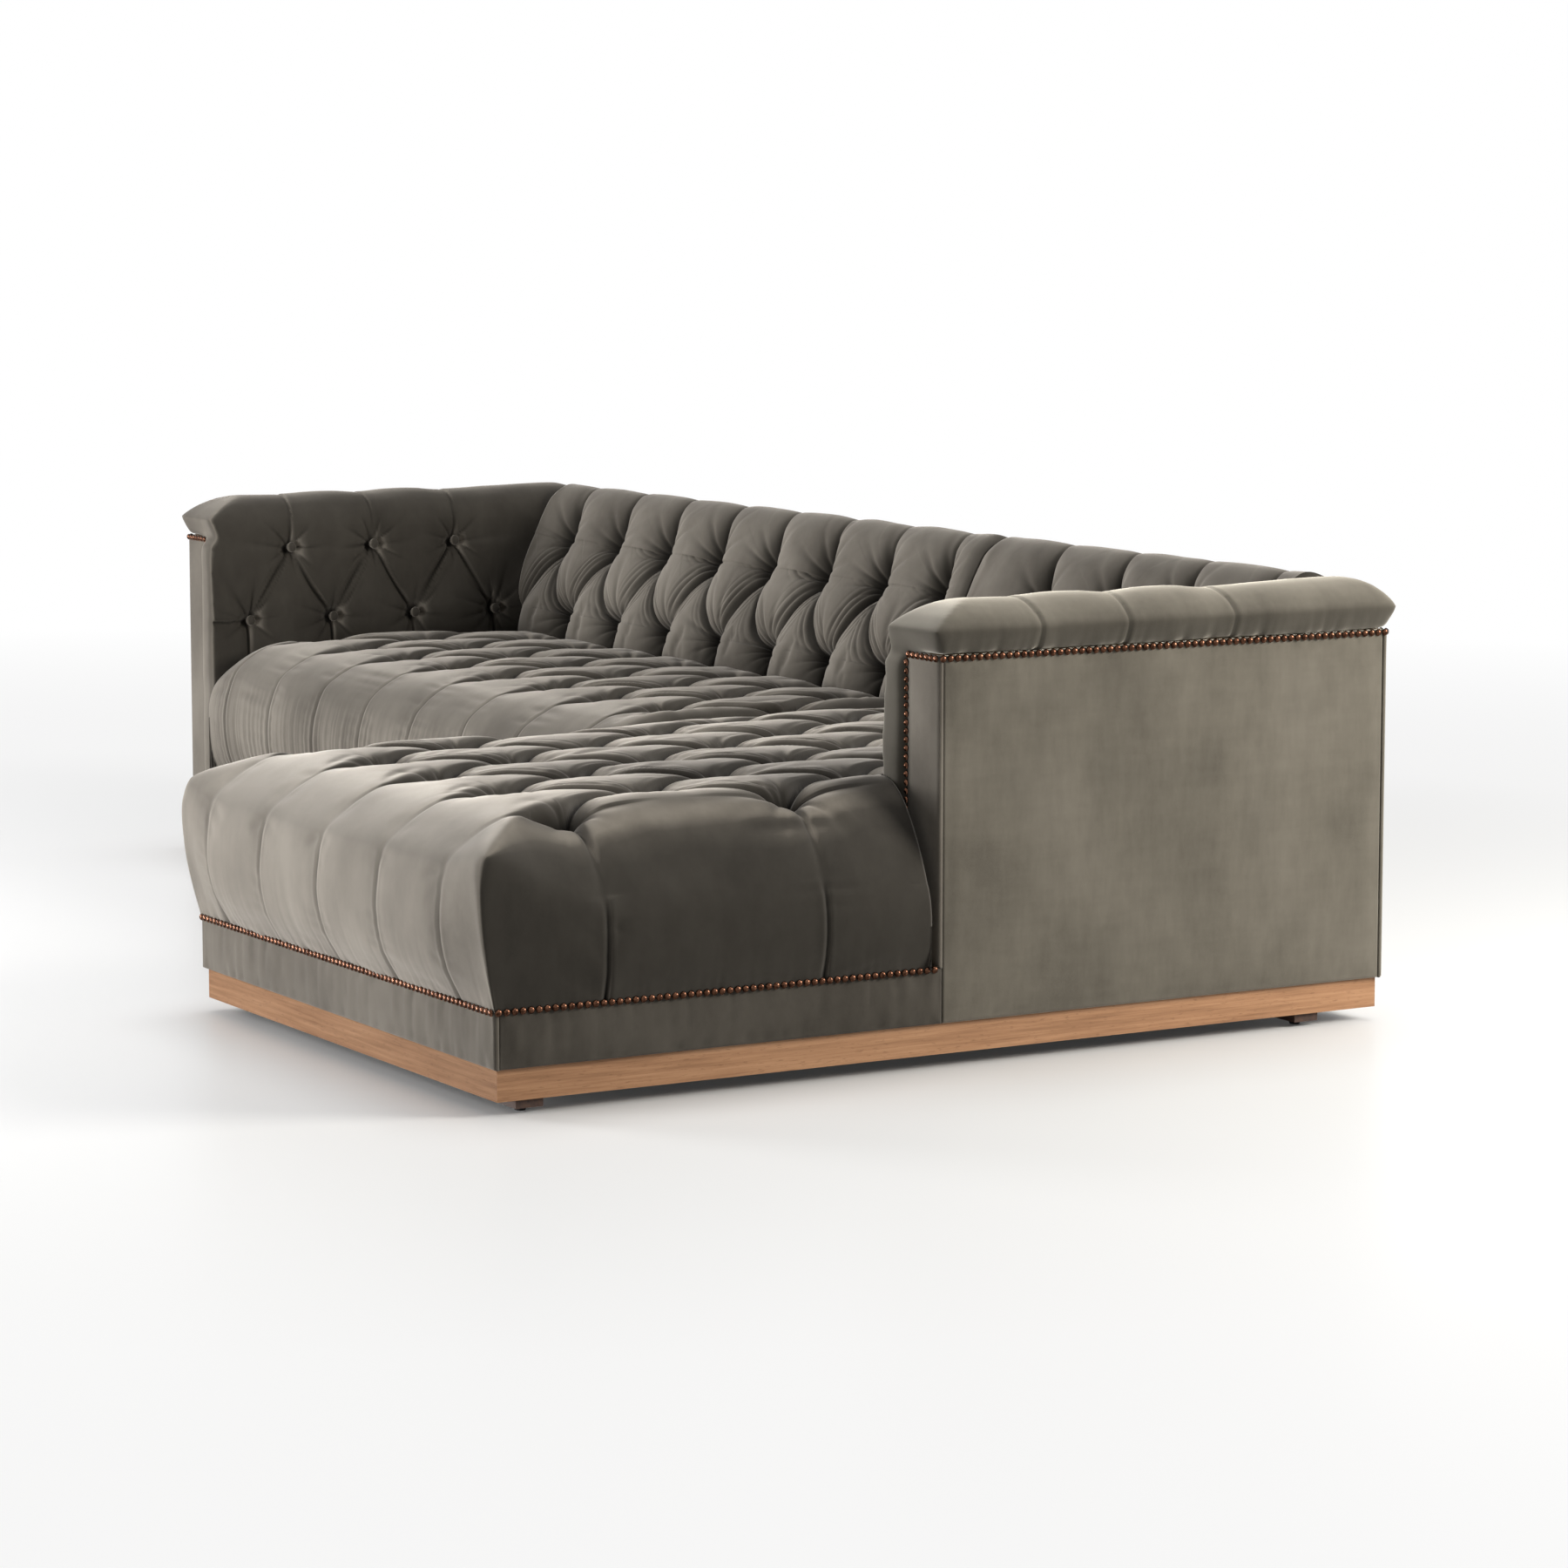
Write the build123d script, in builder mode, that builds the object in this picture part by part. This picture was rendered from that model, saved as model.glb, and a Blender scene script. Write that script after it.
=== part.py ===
# Deep-buttoned velvet chaise sectional: a sofa section and a chaise section on beech plinths.
# Millimetres. Seen from the front, +X is to the right, where the chaise stands; +Y is to the rear, +Z up.
import math
import os

from build123d import *

os.makedirs("parts", exist_ok=True)

# Overall plan
overall_width = 2845.0
chaise_width = 1042.5
chaise_depth = 1595.0
sofa_depth = 843.0
split_gap = 2.0
clear = 0.3

# Heights of the layers, from the floor up
glide_height = 8.0
foot_height = 14.0
plinth_height = 48.0
rail_height = 83.0
webbing_thickness = 2.5
seat_height = 284.5
panel_height = 560.0
roll_height = 84.0
roll_tip_height = 38.0

# Timber
plinth_thickness = 22.0
rail_thickness = 45.0
post_width = 60.0
top_rail_height = 28.0
board_thickness = 6.0
glue_block_size = 46.0
glue_block_gap = 4.0
brace_leg = 90.0
stretcher_width = 60.0

# Feet
foot_length = 60.0
foot_width = 45.0
foot_side_inset = 8.0
foot_front_inset = 34.0
foot_rear_inset = 108.0
glide_radius = 11.0
glide_tip_radius = 8.0
glide_sides = 12

# Covers and fittings
cover = 8.0
dust_cover_thickness = 3.0
strap_width = 60.0
strap_pitch = 148.0
strap_bearing = 30.0

# Rolls and pad edges
roll_overhang = 15.0
roll_end = 105.0
front_bulge = 39.5
side_bulge = 11.0
front_belly = 120.0
front_shoulder = 190.0
front_roll = 110.0
side_belly = 90.0
side_shoulder = 145.0
side_roll = 106.0

# Arms and back
arm_thickness = 145.0
arm_nose = 16.0
arm_facing_width = 90.5
arm_roll_start = 20.0
back_lean = 0.397
back_foot = 606.0
back_foot_height = 444.0
back_roll_start = 25.0

# Tufting
seat_pitch = 207.0
sofa_pitch = 201.5
seat_row_step = 185.0
seat_last_row = 507.5
chaise_rows = 7
sofa_rows = 3
seat_sink = 26.0
front_sink = 12.0
side_sink = 6.0
back_upper_row = 616.0
back_lower_row = 474.0
back_sink = 22.0
arm_upper_row = 607.0
arm_lower_row = 464.0
arm_pitch = 182.0
arm_middle_button = 312.5
arm_sink = 9.0
roll_sink = 6.0
seam_step = 2.5
pillow_steps = 4
bow_steps = 4
pit_sides = 8
pit_radius = 30.0
pit_floor_radius = 13.0
seat_pit = 14.0
back_pit = 12.0
arm_pit = 4.0
button_sides = 8
button_radius = 11.0
button_top_radius = 6.0
button_height = 7.0

# Sectional connectors
connector_plate = 3.0
connector_width = 60.0
connector_height = 40.0
connector_pin_radius = 4.0
connector_clear = 0.5
connector_ear_gap = 9.0
connector_front = 150.0
connector_rear = 600.0

# Levels that follow from the sizes above
overall_depth = chaise_depth + front_bulge + roll_overhang
plinth_z = glide_height + foot_height
rail_z = plinth_z + plinth_height
web_z = rail_z + rail_height
pad_z = web_z + webbing_thickness
crown_z = pad_z + seat_height
panel_z = rail_z + panel_height
tip_z = panel_z + roll_tip_height
top_z = panel_z + roll_height

side_x = overall_width / 2 - roll_overhang
split_x = side_x - chaise_width
sofa_end_x = split_x - split_gap
rear_y = overall_depth / 2 - roll_overhang
chaise_y = rear_y - chaise_depth
sofa_y = rear_y - sofa_depth
arm_x = side_x - arm_thickness
arm_board_x = side_x - cover - rail_thickness - board_thickness
facing_x = side_x - arm_facing_width
arm_front_y = sofa_y - arm_nose
frame_rear_y = rear_y - cover
post_y = frame_rear_y - rail_thickness
back_board_y = post_y - board_thickness

sections = {
    "sofa": (-side_x + cover, sofa_end_x - cover, sofa_y + cover, frame_rear_y),
    "chaise": (split_x + cover, side_x - cover, chaise_y + cover, frame_rear_y),
}


def save(name, builder):
    builder.part.label = name
    export_step(builder.part, f"parts/{name}.step")


def block(x0, x1, y0, y1, z0, z1, mode=Mode.ADD):
    with Locations(((x0 + x1) / 2, (y0 + y1) / 2, (z0 + z1) / 2)):
        Box(x1 - x0, y1 - y0, z1 - z0, mode=mode)


def outline_prism(points, z0, height):
    with BuildSketch(Plane.XY.offset(z0)) as outline:
        with BuildLine():
            Polyline(*points, close=True)
        make_face()
    extrude(outline.sketch, amount=height)


def tapered(low_radius, high_radius, height, sides):
    # Straight-sided plug on the XY plane, for the glides, the button pits and the buttons
    with BuildPart() as plug:
        with BuildSketch():
            RegularPolygon(low_radius, sides)
        with BuildSketch(Plane.XY.offset(height)):
            RegularPolygon(high_radius, sides)
        loft(ruled=True)
    return plug.part


glide = tapered(glide_tip_radius, glide_radius, glide_height, glide_sides)

# Plinth, feet, seat frame, webbing and dust cover of each section
for section, (x0, x1, y0, y1) in sections.items():
    inner_x0 = x0 + plinth_thickness
    inner_x1 = x1 - plinth_thickness
    inner_y0 = y0 + plinth_thickness
    inner_y1 = y1 - plinth_thickness
    plinth_boards = {
        "front": ((x0, y0), (x1, y0), (inner_x1, inner_y0), (inner_x0, inner_y0)),
        "right": ((x1, y0), (x1, y1), (inner_x1, inner_y1), (inner_x1, inner_y0)),
        "rear": ((x1, y1), (x0, y1), (inner_x0, inner_y1), (inner_x1, inner_y1)),
        "left": ((x0, y1), (x0, y0), (inner_x0, inner_y0), (inner_x0, inner_y1)),
    }
    for side, points in plinth_boards.items():
        with BuildPart() as plinth_board:
            outline_prism(points, plinth_z, plinth_height)
        save(f"{section}_plinth_{side}", plinth_board)

    foot_x = foot_side_inset + foot_length / 2
    foot_spots = []
    for spot_x in (x0 + foot_x, x1 - foot_x):
        foot_spots.append((spot_x, y0 + foot_front_inset + foot_width / 2))
        foot_spots.append((spot_x, y1 - foot_rear_inset - foot_width / 2))

    with BuildPart() as feet:
        with Locations(*[(fx, fy, glide_height + foot_height / 2) for fx, fy in foot_spots]):
            Box(foot_length, foot_width, foot_height)
    save(f"{section}_feet", feet)

    with BuildPart() as glides:
        with Locations(*[(fx, fy, 0) for fx, fy in foot_spots]):
            add(glide)
    save(f"{section}_glides", glides)

    block_height = plinth_height - dust_cover_thickness - glue_block_gap
    with BuildPart() as glue_blocks:
        for fx, fy in foot_spots:
            block_x = inner_x0 if fx < (x0 + x1) / 2 else inner_x1 - glue_block_size
            block(block_x, block_x + glue_block_size, fy - foot_width / 2, fy + foot_width / 2,
                  plinth_z, plinth_z + block_height)
    save(f"{section}_glue_blocks", glue_blocks)

    with BuildPart() as cross_rails:
        block(x0 + rail_thickness, x1 - rail_thickness, y0, y0 + rail_thickness, rail_z, web_z)
        block(x0 + rail_thickness, x1 - rail_thickness, y1 - rail_thickness, y1, rail_z, web_z)
    save(f"{section}_cross_rails", cross_rails)

    with BuildPart() as side_rails:
        block(x0, x0 + rail_thickness, y0, y1, rail_z, web_z)
        block(x1 - rail_thickness, x1, y0, y1, rail_z, web_z)
    save(f"{section}_side_rails", side_rails)

    well_x0 = x0 + rail_thickness
    well_x1 = x1 - rail_thickness
    well_y0 = y0 + rail_thickness
    well_y1 = y1 - rail_thickness
    stretcher_z = web_z - rail_height / 2
    with BuildPart() as braces:
        for share in (1 / 3, 2 / 3):
            if section == "sofa":
                middle = well_x0 + (well_x1 - well_x0) * share
                block(middle - stretcher_width / 2, middle + stretcher_width / 2, well_y0, well_y1,
                      rail_z, stretcher_z)
            else:
                middle = well_y0 + (well_y1 - well_y0) * share
                block(well_x0, well_x1, middle - stretcher_width / 2, middle + stretcher_width / 2,
                      rail_z, stretcher_z)
        for corner_x, way_x in ((well_x0, 1), (well_x1, -1)):
            for corner_y, way_y in ((well_y0, 1), (well_y1, -1)):
                outline_prism(
                    ((corner_x, corner_y), (corner_x + way_x * brace_leg, corner_y),
                     (corner_x, corner_y + way_y * brace_leg)), rail_z, rail_height / 2)
    save(f"{section}_braces", braces)

    with BuildPart() as webbing:
        if section == "sofa":
            strap_count = int((well_x1 - well_x0) // strap_pitch)
            strap_length = well_y1 - well_y0 + 2 * strap_bearing
            with Locations(((x0 + x1) / 2, (y0 + y1) / 2, web_z + webbing_thickness / 2)):
                with GridLocations(strap_pitch, strap_pitch, strap_count, 1):
                    Box(strap_width, strap_length, webbing_thickness)
        else:
            strap_count = int((well_y1 - well_y0) // strap_pitch)
            strap_length = well_x1 - well_x0 + 2 * strap_bearing
            with Locations(((x0 + x1) / 2, (y0 + y1) / 2, web_z + webbing_thickness / 2)):
                with GridLocations(strap_pitch, strap_pitch, 1, strap_count):
                    Box(strap_length, strap_width, webbing_thickness)
    save(f"{section}_webbing", webbing)

    with BuildPart() as dust_cover:
        block(inner_x0, inner_x1, inner_y0, inner_y1, rail_z - dust_cover_thickness, rail_z)
    save(f"{section}_dust_cover", dust_cover)

# Velvet border bands over the seat rails
borders = {
    "sofa_border_front": (-facing_x, sofa_end_x, sofa_y, sofa_y + cover),
    "sofa_border_end": (sofa_end_x - cover, sofa_end_x, sofa_y + cover, frame_rear_y),
    "chaise_border_front": (split_x, side_x, chaise_y, chaise_y + cover),
    "chaise_border_right": (side_x - cover, side_x, chaise_y + cover, sofa_y + cover),
    "chaise_border_end": (split_x, split_x + cover, chaise_y + cover, frame_rear_y),
}
for name, (x0, x1, y0, y1) in borders.items():
    with BuildPart() as border:
        block(x0, x1, y0, y1, rail_z, pad_z)
    save(name, border)


# Tufted upholstery

def bowed(start, middle, end):
    # Corners of a faceted bow through three points
    corners = []
    for step in range(bow_steps + 1):
        share = step / bow_steps
        weights = ((1 - share) * (1 - 2 * share), 4 * share * (1 - share), share * (2 * share - 1))
        corners.append(tuple(sum(weight * point[axis] for weight, point in zip(weights, (start, middle, end)))
                             for axis in (0, 1)))
    return corners


def edge_points(bulge, belly, shoulder, roll, crown):
    # Pad edge from the nail line out over its belly, up to the shoulder and over to the crown,
    # as (outward, height) pairs: start, belly, shoulder, middle of the roll-over, crown.
    belly_radius = (belly**2 + bulge**2) / (2 * bulge)
    rise = shoulder - belly
    shoulder_out = bulge - belly_radius + math.sqrt(belly_radius**2 - rise**2)
    run = shoulder_out + roll
    drop = crown - pad_z - shoulder
    crown_radius = (run**2 + drop**2) / (2 * drop)
    half_turn = math.atan2(run, crown_radius - drop) / 2
    middle = (crown_radius * math.sin(half_turn) - roll,
              crown - crown_radius * (1 - math.cos(half_turn)))
    return [(0, pad_z), (bulge, pad_z + belly), (shoulder_out, pad_z + shoulder), middle, (-roll, crown)]


def edge_section(plane, points, inner):
    start, belly, shoulder, middle, crown = points
    with BuildSketch(plane) as section:
        with BuildLine():
            Polyline(*bowed(start, belly, shoulder))
            Polyline(*bowed(shoulder, middle, crown))
            Polyline(crown, (inner, crown[1]), (inner, start[1]), start)
        make_face()
    return section.sketch


def front_pillow(stations, face_y, inner_y):
    # Pillow of the seat front between two pleats, where the inset is 1
    sections = []
    for station, inset in stations:
        points = edge_points(front_bulge - front_sink * inset, front_belly, front_shoulder, front_roll,
                             crown_z - seam_step - seat_sink * inset)
        points = [(face_y - out, height) for out, height in points]
        sections.append(edge_section(Plane.YZ.offset(station), points, inner_y))
    loft(sections, ruled=True)


def side_pillow(stations, face_x, way, inner_x):
    # Pillow of the chaise side between two pleats, where the inset is 1
    sections = []
    for station, inset in stations:
        points = edge_points(side_bulge - side_sink * inset, side_belly, side_shoulder, side_roll,
                             crown_z - seam_step - seat_sink * inset)
        points = [(face_x + way * out, height) for out, height in points]
        sections.append(edge_section(Plane.XZ.offset(-station), points, inner_x))
    loft(sections, ruled=True)


def between(low, high):
    # Stations of a pillow from one pleat to the next, with the inset at each
    shares = [step / pillow_steps for step in range(pillow_steps + 1)]
    return [(low + (high - low) * share, (1 - 2 * share)**2) for share in shares]


def to_end(pleat, end):
    # Stations of a half pillow from a pleat to a free end
    shares = [step / pillow_steps for step in range(pillow_steps + 1)]
    return [(pleat + (end - pleat) * share, (1 - share)**2) for share in shares]


def diamond_field(panel, tuft, pitch, row_step, sink, outline, depth):
    # Pillows between diagonal valleys through the tufts, over the outline drawn on the panel
    spacing = pitch * row_step / math.hypot(pitch / 2, row_step)
    span = max(math.hypot(u - tuft[0], v - tuft[1]) for u, v in outline) + spacing
    count = math.ceil(span / spacing)
    with BuildPart() as field:
        with BuildSketch(panel):
            with BuildLine():
                Polyline(*outline, close=True)
            make_face()
        extrude(amount=-depth)
        for way in (1, -1):
            along = panel.x_dir * (way * pitch / 2) + panel.y_dir * row_step
            across = panel.y_dir * (way * pitch / 2) - panel.x_dir * row_step
            ridge = Plane(panel.from_local_coords((tuft[0], tuft[1], 0)), x_dir=across, z_dir=along)
            with BuildSketch(ridge):
                with BuildLine():
                    for k in range(-count, count):
                        Polyline(*bowed((k * spacing, -sink), ((k + 0.5) * spacing, 0),
                                        ((k + 1) * spacing, -sink)))
                    Polyline((count * spacing, -sink), (count * spacing, -depth - sink),
                             (-count * spacing, -depth - sink), (-count * spacing, -sink))
                make_face()
            extrude(amount=span, both=True, mode=Mode.INTERSECT)
    return field.part


def pits(panel, tufts, floor, rise):
    with Locations(*[panel.location * Location((u, v, floor)) for u, v in tufts]):
        add(tapered(pit_floor_radius, pit_radius, rise, pit_sides), mode=Mode.SUBTRACT)


button = tapered(button_radius, button_top_radius, button_height, button_sides)


def set_buttons(panel, tufts, floor):
    with Locations(*[panel.location * Location((u, v, floor)) for u, v in tufts]):
        add(button)


seat_panel = Plane((0, 0, crown_z))
seat_rear_y = back_foot - clear
seat_floor = -seat_sink - seat_pit
chaise_middle_x = (split_x + side_x) / 2
sofa_middle_x = (sofa_end_x - arm_x) / 2
chaise_row_ys = [seat_last_row - seat_row_step * (chaise_rows - 1 - k) for k in range(chaise_rows)]
sofa_row_ys = [seat_last_row - seat_row_step * (sofa_rows - 1 - k) for k in range(sofa_rows)]
wide_columns = [chaise_middle_x + seat_pitch * k for k in (-2, -1, 0, 1, 2)]
narrow_columns = [chaise_middle_x + seat_pitch * k for k in (-1.5, -0.5, 0.5, 1.5)]
sofa_wide_columns = [sofa_middle_x + sofa_pitch * (k - 3.5) for k in range(8)]
sofa_narrow_columns = [sofa_middle_x + sofa_pitch * (k - 3) for k in range(7)]

# Chaise seat pad: corners, front and side pillows, then the field of diamonds around the arm
notch_y = arm_front_y - clear
left_end_y = sofa_y - front_bulge - cover
first_x = wide_columns[0]
last_x = wide_columns[-1]
first_row = chaise_row_ys[0]
third_row = chaise_row_ys[2]
chaise_tufts = []
for row, row_y in enumerate(chaise_row_ys):
    for column_x in wide_columns if row % 2 == 0 else narrow_columns:
        if row_y < notch_y - pit_radius or column_x < arm_x - pit_radius:
            chaise_tufts.append((column_x, row_y))

chaise_corners = []
for face_x, way, pleat_x in ((split_x, -1, first_x), (side_x, 1, last_x)):
    with BuildPart() as corner:
        front_pillow(to_end(pleat_x, face_x + way * 2 * side_bulge), chaise_y, first_row)
    with BuildPart() as corner_side:
        side_pillow(to_end(first_row, chaise_y - 2 * front_bulge), face_x, way, pleat_x)
        add(corner.part, mode=Mode.INTERSECT)
    chaise_corners.append(corner_side.part)

with BuildPart() as chaise_seat_pad:
    add(diamond_field(seat_panel, chaise_tufts[0], seat_pitch, seat_row_step, seat_sink,
                      ((first_x, first_row), (last_x, first_row), (last_x, notch_y),
                       (arm_x - clear, notch_y), (arm_x - clear, seat_rear_y), (split_x, seat_rear_y),
                       (split_x, left_end_y), (first_x, left_end_y)), seat_height))
    for low_x, high_x in zip(wide_columns, wide_columns[1:]):
        front_pillow(between(low_x, high_x), chaise_y, first_row)
    for face_x, way, pleat_x, end_y in ((split_x, -1, first_x, left_end_y), (side_x, 1, last_x, notch_y)):
        side_pillow(between(first_row, third_row), face_x, way, pleat_x)
        side_pillow(to_end(third_row, end_y), face_x, way, pleat_x)
    add(chaise_corners)
    pits(seat_panel, chaise_tufts, seat_floor, seat_sink + seat_pit)
save("chaise_seat_pad", chaise_seat_pad)

# Sofa seat pad: front pillows, then the field of diamonds back to the lean
sofa_tufts = []
for row, row_y in enumerate(sofa_row_ys):
    for column_x in sofa_wide_columns if row % 2 == 0 else sofa_narrow_columns:
        sofa_tufts.append((column_x, row_y))
sofa_left_x = -arm_x + clear

with BuildPart() as sofa_seat_pad:
    add(diamond_field(seat_panel, sofa_tufts[0], sofa_pitch, seat_row_step, seat_sink,
                      ((sofa_left_x, sofa_row_ys[0]), (sofa_end_x, sofa_row_ys[0]),
                       (sofa_end_x, seat_rear_y), (sofa_left_x, seat_rear_y)), seat_height))
    for low_x, high_x in zip(sofa_wide_columns, sofa_wide_columns[1:]):
        front_pillow(between(low_x, high_x), sofa_y, sofa_row_ys[0])
    for pleat_x, end_x in ((sofa_wide_columns[0], sofa_left_x), (sofa_wide_columns[-1], sofa_end_x)):
        front_pillow(to_end(pleat_x, end_x), sofa_y, sofa_row_ys[0])
    pits(seat_panel, sofa_tufts, seat_floor, seat_sink + seat_pit)
save("sofa_seat_pad", sofa_seat_pad)


# Backs: leaning pillows under a roll that overhangs the outside back

slope = math.hypot(1, back_lean)
back_row_step = (back_upper_row - back_lower_row) * slope


def lean_y(height):
    return back_foot + back_lean * (height - back_foot_height)


def roll_middle(top, low):
    # Middle of the arc that leaves the top level and comes down to a lower point
    run = low[0] - top[0]
    drop = top[1] - low[1]
    radius = (run**2 + drop**2) / (2 * drop)
    half_turn = math.atan2(run, radius - drop) / 2
    return (top[0] + radius * math.sin(half_turn), top[1] - radius * (1 - math.cos(half_turn)))


def sunk(height, inset):
    depth = (seam_step + back_sink * inset) / slope
    return (lean_y(height) + depth, height - back_lean * depth)


def at_board(height):
    return (back_board_y, height - back_lean * (back_board_y - lean_y(height)))


back_tip = (rear_y + roll_overhang, tip_z)
back_roll_z = tip_z - back_roll_start
back_top_y = (lean_y(back_roll_z) + back_tip[0]) / 2


def back_upper_pillow(stations):
    outlines = []
    for station, inset in stations:
        start = sunk(back_upper_row, inset)
        shoulder = sunk(back_roll_z, inset)
        top = (back_top_y, top_z - roll_sink * inset)
        with BuildSketch(Plane.YZ.offset(station)) as outline:
            with BuildLine():
                Line(start, shoulder)
                Polyline(*bowed(shoulder, roll_middle(top, shoulder), top))
                Polyline(*bowed(top, roll_middle(top, back_tip), back_tip))
                Polyline(back_tip, (rear_y, panel_z), (back_board_y, panel_z), at_board(back_upper_row), start)
            make_face()
        outlines.append(outline.sketch)
    loft(outlines, ruled=True)


def back_lower_pillow(stations):
    outlines = []
    for station, inset in stations:
        foot_y = back_foot + back_sink * inset
        with BuildSketch(Plane.YZ.offset(station)) as outline:
            with BuildLine():
                Polyline((foot_y, pad_z), (foot_y, sunk(back_foot_height, inset)[1]),
                         sunk(back_lower_row, inset), at_board(back_lower_row), (back_board_y, pad_z), close=True)
            make_face()
        outlines.append(outline.sketch)
    loft(outlines, ruled=True)


def back_end_cover(x0):
    shoulder = sunk(back_roll_z, 1)
    top = (back_top_y, top_z - roll_sink)
    foot_y = back_foot + back_sink
    with BuildSketch(Plane.YZ.offset(x0)) as outline:
        with BuildLine():
            Polyline((foot_y, pad_z), (foot_y, sunk(back_foot_height, 1)[1]), shoulder)
            Polyline(*bowed(shoulder, roll_middle(top, shoulder), top))
            Polyline(*bowed(top, roll_middle(top, back_tip), back_tip))
            Polyline(back_tip, (rear_y, panel_z), (frame_rear_y, panel_z), (frame_rear_y, pad_z), (foot_y, pad_z))
        make_face()
    extrude(outline.sketch, amount=cover)


back_panel = Plane((0, lean_y(back_lower_row), back_lower_row), x_dir=(1, 0, 0), z_dir=(0, -1, back_lean))
back_floor = -back_sink - back_pit
back_spans = {
    "sofa": (-arm_x + clear, sofa_end_x - cover, sofa_wide_columns, sofa_narrow_columns, sofa_pitch),
    "chaise": (split_x + cover, arm_x - clear, narrow_columns, wide_columns[:4], seat_pitch),
}
back_tufts = {}
for section, (x0, x1, upper, lower, pitch) in back_spans.items():
    tufts = [(x, back_row_step) for x in upper] + [(x, 0) for x in lower]
    back_tufts[section] = tufts
    low_end = to_end if section == "sofa" else between
    high_end = between if section == "sofa" else to_end
    with BuildPart() as back_pad:
        add(diamond_field(back_panel, tufts[-1], pitch, back_row_step, back_sink,
                          ((x0, 0), (x1, 0), (x1, back_row_step), (x0, back_row_step)),
                          back_board_y - back_foot))
        block(x0, x1, back_board_y, back_board_y + overall_depth, pad_z, panel_z, mode=Mode.SUBTRACT)
        for pleats, pillow in ((upper, back_upper_pillow), (lower, back_lower_pillow)):
            pillow(low_end(pleats[0], x0))
            for low_x, high_x in zip(pleats, pleats[1:]):
                pillow(between(low_x, high_x))
            pillow(high_end(pleats[-1], x1))
        pits(back_panel, tufts, back_floor, back_sink + back_pit)
    save(f"{section}_back_pad", back_pad)

    frame_x0, frame_x1, _, _ = sections[section]
    with BuildPart() as back_posts:
        middle_x = (frame_x0 + frame_x1) / 2
        for post_x in (frame_x0, middle_x - 1.5 * strap_pitch - post_width / 2,
                       middle_x + 1.5 * strap_pitch - post_width / 2, frame_x1 - post_width):
            block(post_x, post_x + post_width, post_y, frame_rear_y, web_z, panel_z - top_rail_height)
    save(f"{section}_back_posts", back_posts)

    with BuildPart() as back_top_rail:
        block(frame_x0, frame_x1, post_y, frame_rear_y, panel_z - top_rail_height, panel_z)
    save(f"{section}_back_top_rail", back_top_rail)

    with BuildPart() as back_board:
        block(x0, x1, back_board_y, post_y, pad_z, panel_z)
    save(f"{section}_back_board", back_board)

outside_backs = {"sofa": (-side_x, sofa_end_x), "chaise": (split_x, side_x)}
for section, (x0, x1) in outside_backs.items():
    with BuildPart() as outside_back:
        block(x0, x1, frame_rear_y, rear_y, rail_z, panel_z)
    save(f"{section}_outside_back", outside_back)

with BuildPart() as sofa_back_end:
    back_end_cover(sofa_end_x - cover)
save("sofa_back_end_cover", sofa_back_end)

with BuildPart() as chaise_back_end:
    back_end_cover(split_x)
save("chaise_back_end_cover", chaise_back_end)


# Arms: the right arm is drawn and the left arm mirrors it

arm_tip = (side_x + roll_overhang, tip_z)
arm_roll_z = tip_z - arm_roll_start
arm_top_x = (arm_x + arm_tip[0]) / 2
arm_row_step = arm_upper_row - arm_lower_row
arm_upper_ys = [arm_middle_button + arm_pitch * k for k in (-1, 0, 1)]
arm_lower_ys = [arm_middle_button + arm_pitch * k for k in (-1.5, -0.5, 0.5, 1.5)]
arm_start_y = arm_front_y - roll_overhang
arm_stop_y = rear_y + 2 * roll_overhang


def arm_upper_pillow(stations):
    outlines = []
    for station, inset in stations:
        inner_x = arm_x + seam_step + arm_sink * inset
        top = (arm_top_x, top_z - roll_sink * inset)
        shoulder = (inner_x, arm_roll_z)
        with BuildSketch(Plane.XZ.offset(-station)) as outline:
            with BuildLine():
                Line((inner_x, arm_upper_row), shoulder)
                Polyline(*bowed(shoulder, roll_middle(top, shoulder), top))
                Polyline(*bowed(top, roll_middle(top, arm_tip), arm_tip))
                Polyline(arm_tip, (side_x, panel_z), (arm_board_x, panel_z), (arm_board_x, arm_upper_row),
                         (inner_x, arm_upper_row))
            make_face()
        outlines.append(outline.sketch)
    loft(outlines, ruled=True)


def arm_lower_pillow(stations):
    outlines = []
    for station, inset in stations:
        inner_x = arm_x + seam_step + arm_sink * inset
        with BuildSketch(Plane.XZ.offset(-station)) as outline:
            with BuildLine():
                Polyline((inner_x, pad_z), (inner_x, arm_lower_row), (arm_board_x, arm_lower_row),
                         (arm_board_x, pad_z), close=True)
            make_face()
        outlines.append(outline.sketch)
    loft(outlines, ruled=True)


with BuildPart() as arm_ends:
    front_tip = (sofa_y - roll_overhang, tip_z)
    front_top = (sofa_y + roll_end, top_z)
    rear_top = (back_top_y, top_z)
    with BuildSketch(Plane.YZ.offset(arm_x)):
        with BuildLine():
            Polyline((arm_front_y, pad_z), (arm_front_y, panel_z - arm_nose), (sofa_y, panel_z), front_tip)
            Polyline(*bowed(front_tip, roll_middle(front_top, front_tip), front_top))
            Line(front_top, rear_top)
            Polyline(*bowed(rear_top, roll_middle(rear_top, back_tip), back_tip))
            Polyline(back_tip, (rear_y, panel_z), (post_y, panel_z), (post_y, pad_z), (arm_front_y, pad_z))
        make_face()
    extrude(amount=arm_thickness + 2 * roll_overhang)

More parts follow.
